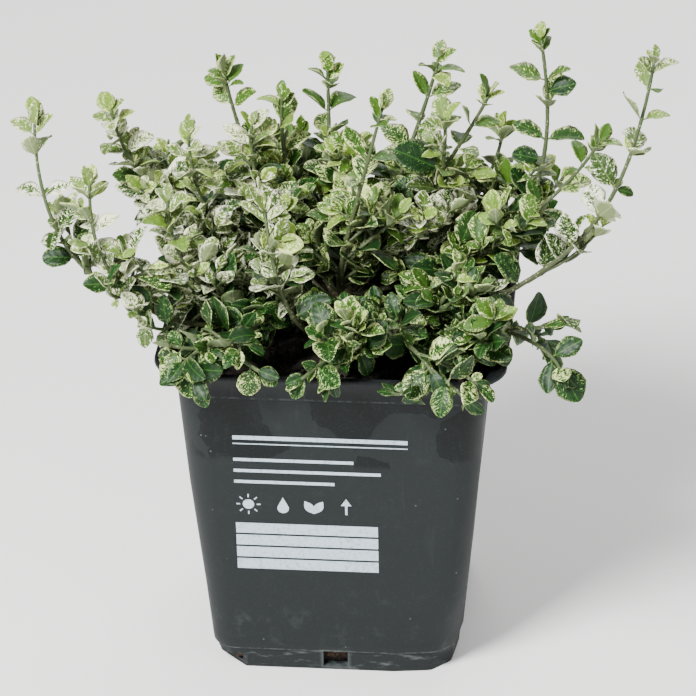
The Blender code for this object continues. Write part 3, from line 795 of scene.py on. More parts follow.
    def pair(self, point: np.ndarray, way: np.ndarray, turn: float, length: float,
             age: float, tilt: float) -> bool:
        """Adds two opposite leaves at a node.

        Args:
            point: the node.
            way: the twig's way there.
            turn: the angle round the twig at which the first leaf stands.
            length: a leaf's length.
            age: from 0 old to 1 young.
            tilt: the angle between the leaves and the twig.
        Returns:
            Whether at least one of them found room.
        """
        before = len(self.leaves)
        other = np.array((1.0, 0, 0)) if abs(way[2]) > 0.9 else UP
        across = unit(np.cross(way, other))
        beyond = np.cross(way, across)
        for side in range(2):
            angle = turn + math.pi * side + self.chance.uniform(-0.4, 0.4)
            lean = tilt * self.chance.uniform(0.72, 1.24)
            reach = length * self.chance.uniform(0.78, 1.12)
            shape = np.array([self.chance.random() for _ in range(5)])
            finish = self.deal(age, point[2] - PEAT_TOP)
            cream = self.chance.random()
            roll = np.array([self.chance.uniform(-0.55, 0.55) for _ in range(3)])
            for share, shift in LEAF_TRIES:
                out = across * math.cos(angle + shift) + beyond * math.sin(angle + shift)
                along = unit(way * math.cos(lean) + out * math.sin(lean))
                face = way * 0.45 + (LIGHT + roll) * (1.0 - 0.55 * age)
                face = unit(face - along * (face @ along))
                leaf = Leaf(point, along, face, reach * share, finish, age, cream, shape)
                if not self.hangs(leaf) and self.fits(leaf):
                    self.leaves.append(leaf)
                    break
        return len(self.leaves) > before

    def hangs(self, leaf: Leaf) -> bool:
        """Tests a leaf against the crown's lower edge.

        Args:
            leaf: the leaf.
        Returns:
            Whether it would hang in the shade below the crown.
        """
        tip = leaf.root + leaf.along * leaf.length
        over = max(abs(tip[0]), tip[1]) - HANG_FROM
        return not self.trails and over > 0 and tip[2] < POT_HEIGHT + HANG_SLOPE * over

    def deal(self, age: float, height: float) -> Variegation:
        """Deals a leaf its finish: dark low down and when old, else its spray's, lime at the tip.

        Args:
            age: from 0 old to 1 young.
            height: its node's height above the peat.
        Returns:
            The finish.
        """
        draw = self.chance.random()
        own = self.shoot.finish
        dark = np.interp(height, DARK_HEIGHTS, DARK_SHARES) * (DARK_AGE - age)
        if draw < dark * (DARK_ON_SILVER if own == SILVER else 1.0):
            return DARK
        if draw > np.interp(age, LIME_AGES, NOT_LIME):
            return LIME
        greener = own == SILVER and draw < MARBLED_ON_SILVER * (1 - age)
        return MARBLED if own == LIME or greener else own

    def fits(self, leaf: Leaf) -> bool:
        """Tests a leaf, as a rhomb, against its room and the leaves grown before.

        Args:
            leaf: the leaf.
        Returns:
            Whether it keeps to its room and cuts none of them. It then counts as grown.
        """
        side = np.cross(leaf.along, leaf.face) * (0.31 * leaf.length)
        middle = leaf.root + leaf.along * (0.55 * leaf.length) + leaf.face * (0.05 * leaf.length)
        tip = leaf.root + leaf.along * leaf.length
        foot = leaf.root + leaf.along * (0.16 * leaf.length)
        if not self.space.holds(self.owner, np.array((middle + side, tip, middle - side, middle))):
            return False
        points = [Vector(p) for p in (foot, middle + side, tip, middle - side)]
        shape = BVHTree.FromPolygons(points, [(0, 1, 2), (0, 2, 3)])
        if any(shape.overlap(other) for other in self.grown):
            return False
        self.grown.append(shape)
        return True


@dataclass(frozen=True)
class LeafFinish(Finish):
    """Waxy evergreen leaf with cream variegation.

    The cuticle gives a soft sheen, the cream runs in streaks along the side veins and fills
    the margin, and the underside is a dull sage with no marbling.
    """

    dark: str
    light: str
    cream: str
    young: str
    vein: str
    cover: float             # the level above which a blade is cream
    margin: float            # how much the edge adds to that level
    rim: float               # how pale the very edge is
    warm: str = "d9df9c"     # the cream of a young leaf
    sage: str = "6f7d57"     # the underside, and its veins
    sage_vein: str = "a9b488"
    stalk: str = "66793f"
    streaks: float = 2.7     # to the millimetre
    slant: float = -0.8      # of the side veins, along the leaf for each millimetre from the midrib
    vein_step: float = 0.95
    roughness: tuple[float, float] = (0.42, 0.6)

    def surface(self, add: partial) -> dict:
        """Lays the nodes, which read the blade, grain and tone marks.

        The streaks are a noise in millimetres, long along the side veins, that a threshold
        turns to cream, and the veins are distances to lines at a slant from the midrib.
        """
        blade, grain, tone = (
            add("Attribute", {}, "Vector", attribute_name=name) for name in ("blade", "grain", "tone")
        )
        share, lateral, under = add("SeparateXYZ", {0: blade}).node.outputs
        length, width, seed = add("SeparateXYZ", {0: grain}).node.outputs
        age, cream_share, chance = add("SeparateXYZ", {0: tone}).node.outputs
        away, edge = (add("Math", {0: value}, operation="ABSOLUTE") for value in (width, lateral))
        slant = add("Math", {0: away, 1: self.slant, 2: length}, operation="MULTIPLY_ADD")
        drawn = add("Math", {0: width, 1: 0.36}, operation="MULTIPLY")
        at = add("CombineXYZ", {0: slant, 1: drawn, 2: seed})
        streak = add("TexNoise", {"Vector": at, "Scale": self.streaks, "Detail": 2.0, "Roughness": 0.7})
        fleck = add("TexNoise", {"Vector": grain, "Scale": 1.2 * self.streaks, "Detail": 1.0})
        broad = add("TexNoise", {"Vector": grain, "Scale": 0.6, "Detail": 1.0})
        outer = add("MapRange", {0: edge, 1: 0.4, 2: 1.0, 3: 0.0, 4: self.margin})
        level = add("Mix", {0: 0.35, 2: streak, 3: fleck})
        for value, weight in ((outer, 1.0), (cream_share, 0.16), (broad, 0.18)):
            level = add("Math", {0: value, 1: weight, 2: level}, operation="MULTIPLY_ADD")
        rough_edge = add("Math", {0: fleck, 1: 0.7, 2: edge}, operation="MULTIPLY_ADD")
        wave = add("Math", {0: slant, 1: self.vein_step}, operation="PINGPONG")
        # Each ramp is what it reads, the levels between which it runs and its shares there
        cream, rim, midrib, ribs, grey, fresh, warm, stalk, gloss = (
            add("MapRange", dict(enumerate(ramp))) for ramp in (
                (level, self.cover, self.cover + 0.045, 0.0, 1.0),
                (rough_edge, 1.2, 1.3, 0.0, self.rim),
                (away, 0.05, 0.22, 0.55, 0.0),
                (wave, 0.02, 0.16, 0.17, 0.0),
                (level, self.cover - 0.09, self.cover, 0.0, 1.0),
                (age, 0.5, 1.0, 0.0, 0.55),
                (age, 0.6, 1.0, 0.0, 0.5),
                (share, 0.1, 0.17, 0.8, 0.0),
                (fleck, 0.3, 0.7, *self.roughness),
            )
        )
        cream, vein = (
            add("Math", dict(enumerate(two)), operation="MAXIMUM") for two in ((cream, rim), (midrib, ribs))
        )
        pale, below = (
            add("Mix", {0: mixed, 6: linear(one), 7: linear(other)}, 2, data_type="RGBA")
            for mixed, one, other in ((warm, self.cream, self.warm), (vein, self.sage, self.sage_vein))
        )
        shade = add("Math", {0: chance, 1: 0.2}, operation="MULTIPLY")
        colour = linear(self.dark)
        for coat, over in (
            (grey, linear(self.light)), (fresh, linear(self.young)), (cream, pale),
            (vein, linear(self.vein)), (under, below), (stalk, linear(self.stalk)),
            (shade, linear(self.dark)),
        ):
            colour = add("Mix", {0: coat, 6: colour, 7: over}, 2, data_type="RGBA")
        relief = add("Math", {0: vein, 1: -0.6, 2: wave}, operation="MULTIPLY_ADD")
        relief = add("Math", {0: broad, 1: 2.0, 2: relief}, operation="MULTIPLY_ADD")
        return {
            "Base Color": colour,
            "Roughness": add("Math", {0: under, 1: 0.2, 2: gloss}, operation="MULTIPLY_ADD"),
            "Normal": add("Bump", {"Strength": 0.18, "Distance": 0.3 * MM, "Height": relief}),
            "Specular IOR Level": 0.3,
        }


LEAF_FINISHES = {
    SILVER: LeafFinish(
        "silver_marbled_leaf", "132c08", "40651a", "fafbdc", "82a048", "7f964c",
        cover=0.71, margin=0.13, rim=0.85, sage="7b8a5c", streaks=2.0,
    ),
    MARBLED: LeafFinish(
        "green_marbled_leaf", "0c2c06", "2a560f", "d6e296", "58801f", "4a7027",
        cover=0.755, margin=0.12, rim=0.7, streaks=2.3,
    ),
    LIME: LeafFinish(
        "young_lime_leaf", "2f5514", "6c8f2a", "d6e28a", "88a63a", "7c9a38",
        cover=0.73, margin=0.12, rim=0.7,
    ),
    DARK: LeafFinish(
        "old_dark_leaf", "092706", "20530d", "a6bb74", "214916", "3f7022",
        cover=0.815, margin=0.1, rim=0.45,
    ),
}
LEAF_SLOTS = {SILVER: "silver_foliage", MARBLED: "marbled_foliage", LIME: "lime_foliage",
              DARK: "marbled_foliage"}


@dataclass
class Foliage:
    """All leaves of one finish, as thin closed blades on a grid.

    A blade's point is its root + length x share along the midrib + half width x lateral
    across, with a fold on the midrib, a curl along it and a wave at its edge.
    """

    leaves: list[Leaf]
    finish: Variegation
    petiole: float = 0.13    # share of the length
    petiole_half: float = 0.45
    thick: float = 0.3
    tooth: float = 0.03      # of the edge, as a share of the half width
    ripple: float = 0.035    # of the edge, as a share of the length
    columns: int = 5

    def __post_init__(self) -> None:
        """Lays the rows along a leaf, closer at both ends of its blade."""
        blade = (1 - np.cos(np.pi * np.arange(8) / 7)) / 2
        self.blade = np.concatenate(([0.0], blade))
        self.share = np.concatenate(([0.0], self.petiole + (1 - self.petiole) * blade))
        self.rows = len(self.share)

    def gather(self, name: str) -> np.ndarray:
        """Returns one value of every leaf, with room for the grid behind it."""
        return np.array([getattr(leaf, name) for leaf in self.leaves])[:, None, None]

    def half_width(self, v: np.ndarray) -> np.ndarray:
        """Works out the half width of every leaf at each row and column.

        It is length x (0.02 + breadth x sine(pi x blade ^ swell) ^ fullness), with a tooth at
        every other row of the edge, a slim petiole and a blunt tip.

        Args:
            v: the place of each column across the leaf, from -1 to 1.
        Returns:
            The half widths, as (leaves, rows, columns).
        """
        wide, wave = self.gather("shape")[..., 0], self.gather("shape")[..., 3]
        length = self.gather("length")
        swell = 0.9 + 0.35 * wave
        outline = np.sin(np.pi * self.blade[None, :, None] ** swell) ** (0.75 - 0.2 * wide)
        teeth = 1 + self.tooth * np.where(np.arange(self.rows) % 2, 1, -1)[None, :, None]
        breadth = 0.24 + 0.11 * wide + 0.04 * (1 - self.gather("age"))
        half = length * (0.02 + breadth * outline) * np.where(abs(v) == 1, teeth, 1)
        half[:, 0] = np.minimum(half[:, 0], self.petiole_half)
        half[:, -1] = 0.04 * length[:, 0]
        return half

    def surface(self) -> tuple[np.ndarray, tuple, np.ndarray]:
        """Works out the upper side of every blade.

        The midrib is an arc, so it runs forward by sinc(bend) and drops by the sine of half
        the bend. Each half of the blade rises by the sine of its fold.

        Returns:
            The points, their shares along and across the leaf with their millimetres across,
            and their normals.
        """
        length = self.gather("length")
        _, fold, curl, wave, _ = np.moveaxis(self.gather("shape"), -1, 0)
        u = self.share[None, :, None]
        v = np.linspace(-1, 1, self.columns)[None, None, :]
        half = self.half_width(v)
        bend = (-0.1 + 1.2 * curl) * u
        slope = 0.08 + 0.38 * fold
        forward = length * np.sinc(bend / np.pi) * u
        drop = length * u * np.sinc(bend / 2 / np.pi) * np.sin(bend / 2)
        lift = abs(v) ** 1.3 * half * np.sin(slope)
        turn = 2 * np.pi * (1.4 * u + wave * 3 + (v > 0) * 0.4)
        lift = lift + self.ripple * length * abs(v) * np.sin(turn)
        root, along, face = (self.gather(name) for name in ("root", "along", "face"))
        parts = (v * half * np.cos(slope), forward + 0 * v, lift - drop)
        ways = (np.cross(along, face), along, face)
        points = root + sum(part[..., None] * way for part, way in zip(parts, ways))
        normal = unit(np.cross(np.gradient(points, axis=2), np.gradient(points, axis=1)))
        return points, np.broadcast_arrays(u, v, half[..., :1] * v), normal

    def build(self) -> bpy.types.Object:
        """Returns the leaves as one mesh with its marks and its own map for baking.

        The lower side lies below the upper by the thickness x root of the share from the edge,
        and half as much at both ends.
        """
        points, marks, normal = self.surface()
        count, rows, columns = points.shape[:3]
        depth = self.thick * (1 - abs(np.linspace(-1, 1, columns))) ** 0.5
        depth = depth[None, None, :, None] * np.ones((1, rows, 1, 1))
        depth[:, (0, -1)] *= 0.5
        per = rows * columns
        inner = [r * columns + c for r in range(rows) for c in range(1, columns - 1)]
        under = (points - normal * depth).reshape(count, per, 3)[:, inner]
        everything = np.concatenate((points.reshape(count, per, 3), under), 1)
        lower = np.arange(per)
        lower[inner] = per + np.arange(len(inner))
        top = grid_faces(rows, columns)
        faces = np.concatenate((top, lower[top][:, ::-1], self.ends(lower)))
        stride = everything.shape[1]
        every_face = (faces[None] + (np.arange(count) * stride)[:, None, None]).reshape(-1, 4)
        made = mesh_object(f"leaves_{self.finish.value}", everything.reshape(-1, 3),
                           every_face.tolist(), LEAF_FINISHES[self.finish].make())
        mark(made.data, self.marks(*marks, inner))
        self.map(made.data, len(top), len(faces), lower)
        return made

    def ends(self, lower: np.ndarray) -> np.ndarray:
        """Closes a blade's root and tip, from its upper to its lower side.

        Args:
            lower: the point below each point of the upper side.
        Returns:
            The quads.
        """
        quads = []
        for row, turned in ((0, False), (self.rows - 1, True)):
            for first in range(row * self.columns, (row + 1) * self.columns - 1):
                quad = (first + 1, first, lower[first], lower[first + 1])
                if len(set(quad)) == 4:
                    quads.append(quad[::-1] if turned else quad)
        return np.array(quads)

    def marks(self, u: np.ndarray, v: np.ndarray, across: np.ndarray,
              inner: list[int]) -> dict[str, np.ndarray]:
        """Works out each point's place on the blade, in shares and in millimetres, and its tone.

        Args:
            u: shares along the leaf.
            v: shares across it.
            across: millimetres across it.
            inner: the points of the upper side that have one below them.
        Returns:
            The vectors for each name.
        """
        shape = self.gather("shape")
        blade = np.stack((u, v, np.zeros_like(across)), -1)
        grain = np.broadcast_arrays(u * self.gather("length"), across, shape[..., 4] * 97)
        blade, grain = (part.reshape(len(shape), -1, 3) for part in (blade, np.stack(grain, -1)))
        below = blade[:, inner] * (1, 1, 0) + (0, 0, 1)
        blade = np.concatenate((blade, below), 1)
        tone = np.stack((self.gather("age"), self.gather("cream"), shape[..., 2]), -1)[:, 0]
        return {
            "blade": blade,
            "grain": np.concatenate((grain, grain[:, inner]), 1),
            "tone": np.broadcast_to(tone, blade.shape),
        }

    def map(self, mesh: bpy.types.Mesh, top: int, per: int, lower: np.ndarray) -> None:
        """Gives each side of each leaf its own island in the map named OFBake.

        Args:
            mesh: the leaves' mesh.
            top: faces on a leaf's upper side.
            per: faces of a leaf.
            lower: the point below each point of the upper side.
        """
        count = len(self.leaves)
        cells = math.ceil(math.sqrt(count / 0.8))
        lines = math.ceil(count / cells)
        stride = int(lower.max()) + 1
        spot = np.zeros((stride, 2))
        grid = np.stack(np.meshgrid(self.share, np.linspace(0, 1, self.columns), indexing="ij"), -1)
        spot[:len(lower)] = spot[lower] = grid.reshape(-1, 2)
        loops = np.zeros(len(mesh.loops), np.int32)
        mesh.loops.foreach_get("vertex_index", loops)
        leaf = loops // stride
        local = spot[loops % stride]
        face = np.repeat(np.arange(len(mesh.polygons)), 4) % per
        half = np.where(face < top, 0.0, 0.5)
        uv = np.empty((len(loops), 2))
        uv[:, 0] = (leaf % cells + 0.06 + 0.88 * local[:, 0]) / cells
        uv[:, 1] = (leaf // cells + half + 0.03 + 0.44 * local[:, 1]) / lines
        layer = mesh.uv_layers.new(name="OFBake")
        layer.data.foreach_set("uv", uv.astype(np.float32).ravel())


@dataclass(frozen=True)
class StemFinish(Finish):
    """Green to corky young bark: ribbed along the stem, with pale corky warts."""

    name: str = "ribbed_green_bark"
    green: str = "3a5226"
    wood: str = "443f2b"
    crease: str = "4a5236"
    wart: str = "b3b592"

    def surface(self, add: partial) -> dict:
        """Lays the nodes, which read the grain and tone marks."""
        grain, tone = (add("Attribute", {}, "Vector", attribute_name=name) for name in ("grain", "tone"))
        ribs_at = add("VectorMath", {0: grain, 1: (0.35, 2.4, 1.0)}, operation="MULTIPLY")
        ribs = add("TexNoise", {"Vector": ribs_at, "Scale": 1.1, "Detail": 2.0})
        spots = add("TexVoronoi", {"Vector": grain, "Scale": 0.9})
        wart = add("MapRange", {0: spots, 1: 0.12, 2: 0.28, 3: 0.6, 4: 0.0})
        crease = add("MapRange", {0: ribs, 1: 0.3, 2: 0.7, 3: 0.0, 4: 0.55})
        colour = linear(self.green)
        for coat, over in (
            (add("SeparateXYZ", {0: tone}), self.wood), (crease, self.crease), (wart, self.wart),
        ):
            colour = add("Mix", {0: coat, 6: colour, 7: linear(over)}, 2, data_type="RGBA")
        height = add("Math", {0: ribs, 1: wart}, operation="ADD")
        bump = add("Bump", {"Strength": 0.5, "Distance": 0.15 * MM, "Height": height})
        return {"Base Color": colour, "Roughness": 0.62, "Normal": bump, "IOR": 1.45}


@dataclass
class Branches:
    """All limbs and twigs as ribbed tubes carried along their lines."""

    limbs: list[Limb]
    ribs: int = 4
    rib_height: float = 0.07
    ripple_height: float = 0.05

    def tube(self, limb: Limb) -> tuple[np.ndarray, list, np.ndarray]:
        """Carries a ribbed ring along a limb's line.

        A point is line + radius x (1 + rib height x cos(ribs x angle) + ripple height x
        sin(2.3 x length gone + 2 x angle)) x (across cos(angle) + beyond sin(angle)).

        Args:
            limb: the limb.
        Returns:
            The tube's points, faces and grain, which is the length gone, the way round and a seed.
        """
        way = unit(np.gradient(limb.path, axis=0))
        mean = unit(limb.path[-1] - limb.path[0])
        least = np.eye(3)[np.argmin(abs(mean))]
        across = unit(np.cross(way, least))[:, None]
        beyond = np.cross(way[:, None], across)
        angle = np.linspace(0, 2 * np.pi, limb.sides, endpoint=False)[None]
        steps = np.linalg.norm(np.diff(limb.path, axis=0), axis=1)
        gone = np.concatenate(([0.0], np.cumsum(steps)))[:, None]
        ripple = 1 + self.rib_height * np.cos(self.ribs * angle + limb.seed)
        ripple = ripple + self.ripple_height * np.sin(gone * 2.3 + angle * 2 + limb.seed)
        radius = limb.radius[:, None]
        ring = across * np.cos(angle)[..., None] + beyond * np.sin(angle)[..., None]
        points = limb.path[:, None] + ring * (radius * ripple)[..., None]
        grain = np.stack(np.broadcast_arrays(gone, angle * radius, limb.seed), -1)
        return points.reshape(-1, 3), tube_faces(*points.shape[:2]), grain.reshape(-1, 3)

    def build(self) -> bpy.types.Object:
        """Returns all the tubes as one mesh."""
        pile = Pile()
        for limb in self.limbs:
            points, faces, grain = self.tube(limb)
            woody = np.repeat(limb.woody, limb.sides)
            pile.add(points, faces, grain=grain, tone=np.stack((woody, woody, woody), -1))
        return pile.build("boughs_and_twigs", StemFinish().make())

    @staticmethod
    def stem() -> bpy.types.Object:
        """Returns the short woody stem with its flared foot and corky ridges."""
        radii, heights = zip(*STEM_PROFILE)
        z = np.linspace(-1.0, heights[-1], 26)
        radius = np.interp(z, heights, radii)
        radius[-1] *= 0.4
        path = np.stack((0 * z, 0 * z, STEM_FOOT + z), -1)
        whole = Limb(path, radius, np.ones(len(z)), 22, 3.0)
        points, faces, grain = Branches([], ribs=7, rib_height=0.09).tube(whole)
        pile = Pile()
        pile.add(points, faces, grain=grain, tone=np.ones_like(points))
        bark = StemFinish("corky_stem_bark", green="6b624a", wood="5c523c")
        return pile.build("woody_stem", bark.make())


def rounded_square(half: np.ndarray, radius: np.ndarray, steps: int, side: int) -> np.ndarray:
    """Returns rings round a square with round corners, anticlockwise, as (rows, points, 2).

    Args:
        half: half width of each row.
        radius: corner radius of each row.
        steps: segments in a corner.
        side: segments in a side.
    Returns:
        The points: a quarter arc of the corner, then the next side, turned four times.
    """
    half, radius = half[:, None], radius[:, None]
    angle = np.linspace(0, np.pi / 2, steps + 1)[None]
    along = np.arange(1, side)[None]
    inner = half - radius
    x = np.concatenate((inner + radius * np.cos(angle), inner - 2 * inner * (along / side)), 1)
    y = np.concatenate((inner + radius * np.sin(angle), half + 0 * along), 1)
    turns = [np.stack((x, y), -1)]
    for _ in range(3):
        last = turns[-1]
        turns.append(np.stack((-last[..., 1], last[..., 0]), -1))
    return np.concatenate(turns, 1)


def raised(rings: np.ndarray, height: np.ndarray) -> np.ndarray:
    """Returns flat rings with a height for each row, as (rows, points, 3)."""
    return np.concatenate((rings, np.broadcast_to(height[:, None, None], (*rings.shape[:2], 1))), -1)


@dataclass
class NurseryPot:
    """The square pot: foot, tapering walls, flared lip, drainage and its plain print."""

    corner_steps: int = 8
    side_steps: int = 10
    ink: float = 0.08

    def flare(self, inset: float) -> np.ndarray:
        """Works out the lip's hollow flare: a quarter ellipse from ledge to edge.

        Args:
            inset: how far inside the outer face the rows lie.
        Returns:
            The (half width, corner radius, height) of each row, upwards.
        """
        share = np.array((0.0, 0.2, 0.38, 0.54, 0.68, 0.79, 0.88, 0.94, 0.98))
        out = 1 - np.sqrt(1 - share ** 2)
        half = WALL_TOP_HALF + LEDGE + (LIP_HALF - WALL_TOP_HALF - LEDGE) * out - inset
        corner = CORNER_TOP + (LIP_CORNER - CORNER_TOP) * out - 0.6 * inset
        height = LEDGE_LEVEL + (LIP_HEIGHT - LIP_EDGE) * share + 0.3 * inset
        return np.stack((half, corner, height + 0.3), -1)

    def profile(self) -> np.ndarray:
        """Returns (half width, corner radius, height) up the outside and down the inside."""
        edge = POT_HEIGHT - LIP_EDGE
        inner = LIP_HALF - LIP_THICK
        heights = np.array((14.0, 19.0, 24.0, 35.0, 46.0, 57.0, 67.0, 78.0, LEDGE_LEVEL - 0.5))
        half, corner = self.wall(heights)
        outside = [
            (FOOT_HALF - 0.6, CORNER_FOOT - 0.6, 0.0),
            (FOOT_HALF - 0.2, CORNER_FOOT - 0.2, 0.2),
            (FOOT_HALF, CORNER_FOOT, 0.7),
            (FOOT_HALF + 0.3, CORNER_FOOT, FOOT_HEIGHT - 0.9),
            (FOOT_HALF + 0.55, CORNER_FOOT, FOOT_HEIGHT - 0.45),
            (WALL_FOOT_HALF - 0.25, CORNER_FOOT, FOOT_HEIGHT - 0.1),
            (WALL_FOOT_HALF, CORNER_FOOT, FOOT_HEIGHT + 0.3),
            (WALL_FOOT_HALF + 0.2, CORNER_FOOT, 9.0),
            *zip(half, corner, heights),
            (WALL_TOP_HALF, CORNER_TOP, LEDGE_LEVEL - 0.1),
            *self.flare(0.0),
            (LIP_HALF - 0.15, LIP_CORNER, edge + 0.2),
            (LIP_HALF, LIP_CORNER, edge + 0.45),
            (LIP_HALF, LIP_CORNER, POT_HEIGHT - 0.5),
            (LIP_HALF - 0.15, LIP_CORNER - 0.1, POT_HEIGHT - 0.15),
            (LIP_HALF - 0.5, LIP_CORNER - 0.4, POT_HEIGHT),
        ]
        inside = [
            (inner - 0.3, LIP_CORNER - LIP_THICK, POT_HEIGHT),
            (inner - 0.6, LIP_CORNER - LIP_THICK, POT_HEIGHT - 0.3),
            *self.flare(LIP_THICK)[-2::-1],
            *list(zip(half - WALL, corner - WALL, heights))[::-1],
            (FOOT_HALF - WALL, CORNER_FOOT - WALL, FOOT_HEIGHT - 0.5),
            (FOOT_HALF - WALL - 0.4, CORNER_FOOT - WALL, FLOOR),
        ]
        return np.array(outside + inside)

    @staticmethod
    def wall(z: np.ndarray) -> tuple[np.ndarray, np.ndarray]:
        """Works out the outer wall, an even taper with a slight belly.

        Args:
            z: heights.
        Returns:
            The half width and the corner radius at each.
        """
        share = (z - FOOT_HEIGHT) / (LEDGE_LEVEL - FOOT_HEIGHT)
        half = WALL_FOOT_HALF + (WALL_TOP_HALF - WALL_FOOT_HALF) * share
        rise = np.interp(z, (DENT_HEIGHT, BELLY_HEIGHT, LEDGE_LEVEL), (0, BELLY, 0))
        return half + rise, CORNER_FOOT + (CORNER_TOP - CORNER_FOOT) * z / POT_HEIGHT

    @staticmethod
    def dented(points: np.ndarray) -> np.ndarray:
        """Pushes the points near the lower front right corner towards the axis.

        The push is its depth x the nearness to the corner x a fade with the height.

        Args:
            points: the points, as (..., 3).
        Returns:
            The points after the push.
        """
        corner = np.array((WALL_FOOT_HALF, -WALL_FOOT_HALF))
        side = np.clip(1 - np.linalg.norm(points[..., :2] - corner, axis=-1) / DENT_SPREAD, 0, 1)
        fade = np.clip(DENT_FADE * np.clip(1 - points[..., 2] / DENT_HEIGHT, 0, 1), 0, 1)
        push = DENT_DEPTH * side * fade
        way = np.array((*corner, 0.0)) / np.linalg.norm(corner)
        return points - way * push[..., None]

    def build(self) -> bpy.types.Object:
        """Returns the moulded pot with its windows and corner notches cut."""
        half, corner, height = self.profile().T
        points = self.dented(raised(rounded_square(half, corner, self.corner_steps, self.side_steps), height))
        faces = tube_faces(*points.shape[:2])
        pot = mesh_object("pot_body", points.reshape(-1, 3), faces, PotFinish().make())
        self.cut(pot)
        pot.data.set_sharp_from_angle(angle=math.radians(42))
        return pot

    def cut(self, pot: bpy.types.Object) -> None:
        """Cuts the drain windows and corner notches, and removes the cutters.

        Args:
            pot: the uncut pot.
        """
        cutters = bpy.data.collections.new("drain_cutters")
        bpy.context.scene.collection.children.link(cutters)
        reach = NOTCH_DIAGONAL + NOTCH_SIZE / 2
        for side in range(4):
            turn = math.radians(90 * side)
            place = (FOOT_HALF * math.sin(turn), -FOOT_HALF * math.cos(turn), FLOOR + WINDOW_HEIGHT / 2)
            self.cutter((WINDOW_WIDTH, 8.0, WINDOW_HEIGHT), place, turn, cutters)
            turn += math.radians(45)
            place = (reach * math.cos(turn), reach * math.sin(turn), NOTCH_HEIGHT - NOTCH_SIZE / 2)
            self.cutter((NOTCH_SIZE, 2 * NOTCH_SIZE, NOTCH_SIZE), place, turn, cutters)
        cut = pot.modifiers.new("drainage", "BOOLEAN")
        cut.operation = "DIFFERENCE"
        cut.operand_type = "COLLECTION"
        cut.collection = cutters
        cut.solver = "EXACT"
        graph = bpy.context.evaluated_depsgraph_get()
        mesh = bpy.data.meshes.new_from_object(pot.evaluated_get(graph))
        pot.modifiers.clear()
        pot.data = mesh
        for item in list(cutters.objects):
            bpy.data.objects.remove(item, do_unlink=True)
        bpy.data.collections.remove(cutters)

    @staticmethod
    def cutter(size: tuple, place: tuple, turn: float, collection: bpy.types.Collection) -> None:
        """Adds one box that cuts the pot.

        Args:
            size: its sides.
            place: its centre.
            turn: its angle round the pot's axis.
            collection: the cutters.
        """
        corners = np.array([(x, y, z) for x in (-0.5, 0.5) for y in (-0.5, 0.5) for z in (-0.5, 0.5)])
        faces = [(0, 1, 3, 2), (4, 6, 7, 5), (0, 4, 5, 1), (2, 3, 7, 6), (0, 2, 6, 4), (1, 5, 7, 3)]
        spin = np.array(Matrix.Rotation(turn, 3, "Z"))
        mesh = bpy.data.meshes.new("cutter")
        mesh.from_pydata(((corners * size) @ spin.T * MM + np.array(place) * MM).tolist(), [], faces)
        collection.objects.link(bpy.data.objects.new("cutter", mesh))

    def print_marks(self) -> bpy.types.Object:
        """Returns the plain marks, each a film of ink on the front wall."""
        pile = Pile()
        for outline in PlainMarks().outlines():
            x, z = outline.T
            front = np.stack((x, -self.wall(z)[0] - self.ink, z), -1)
            count = len(front)
            points = np.concatenate((front, front + (0.0, self.ink, 0.0)))
            rim = [(i, i + count, (i + 1) % count + count, (i + 1) % count) for i in range(count)]
            pile.add(points, [tuple(range(count)), *rim])
        made = pile.build("pot_print", InkFinish().make())
        made.data.shade_flat()
        return made


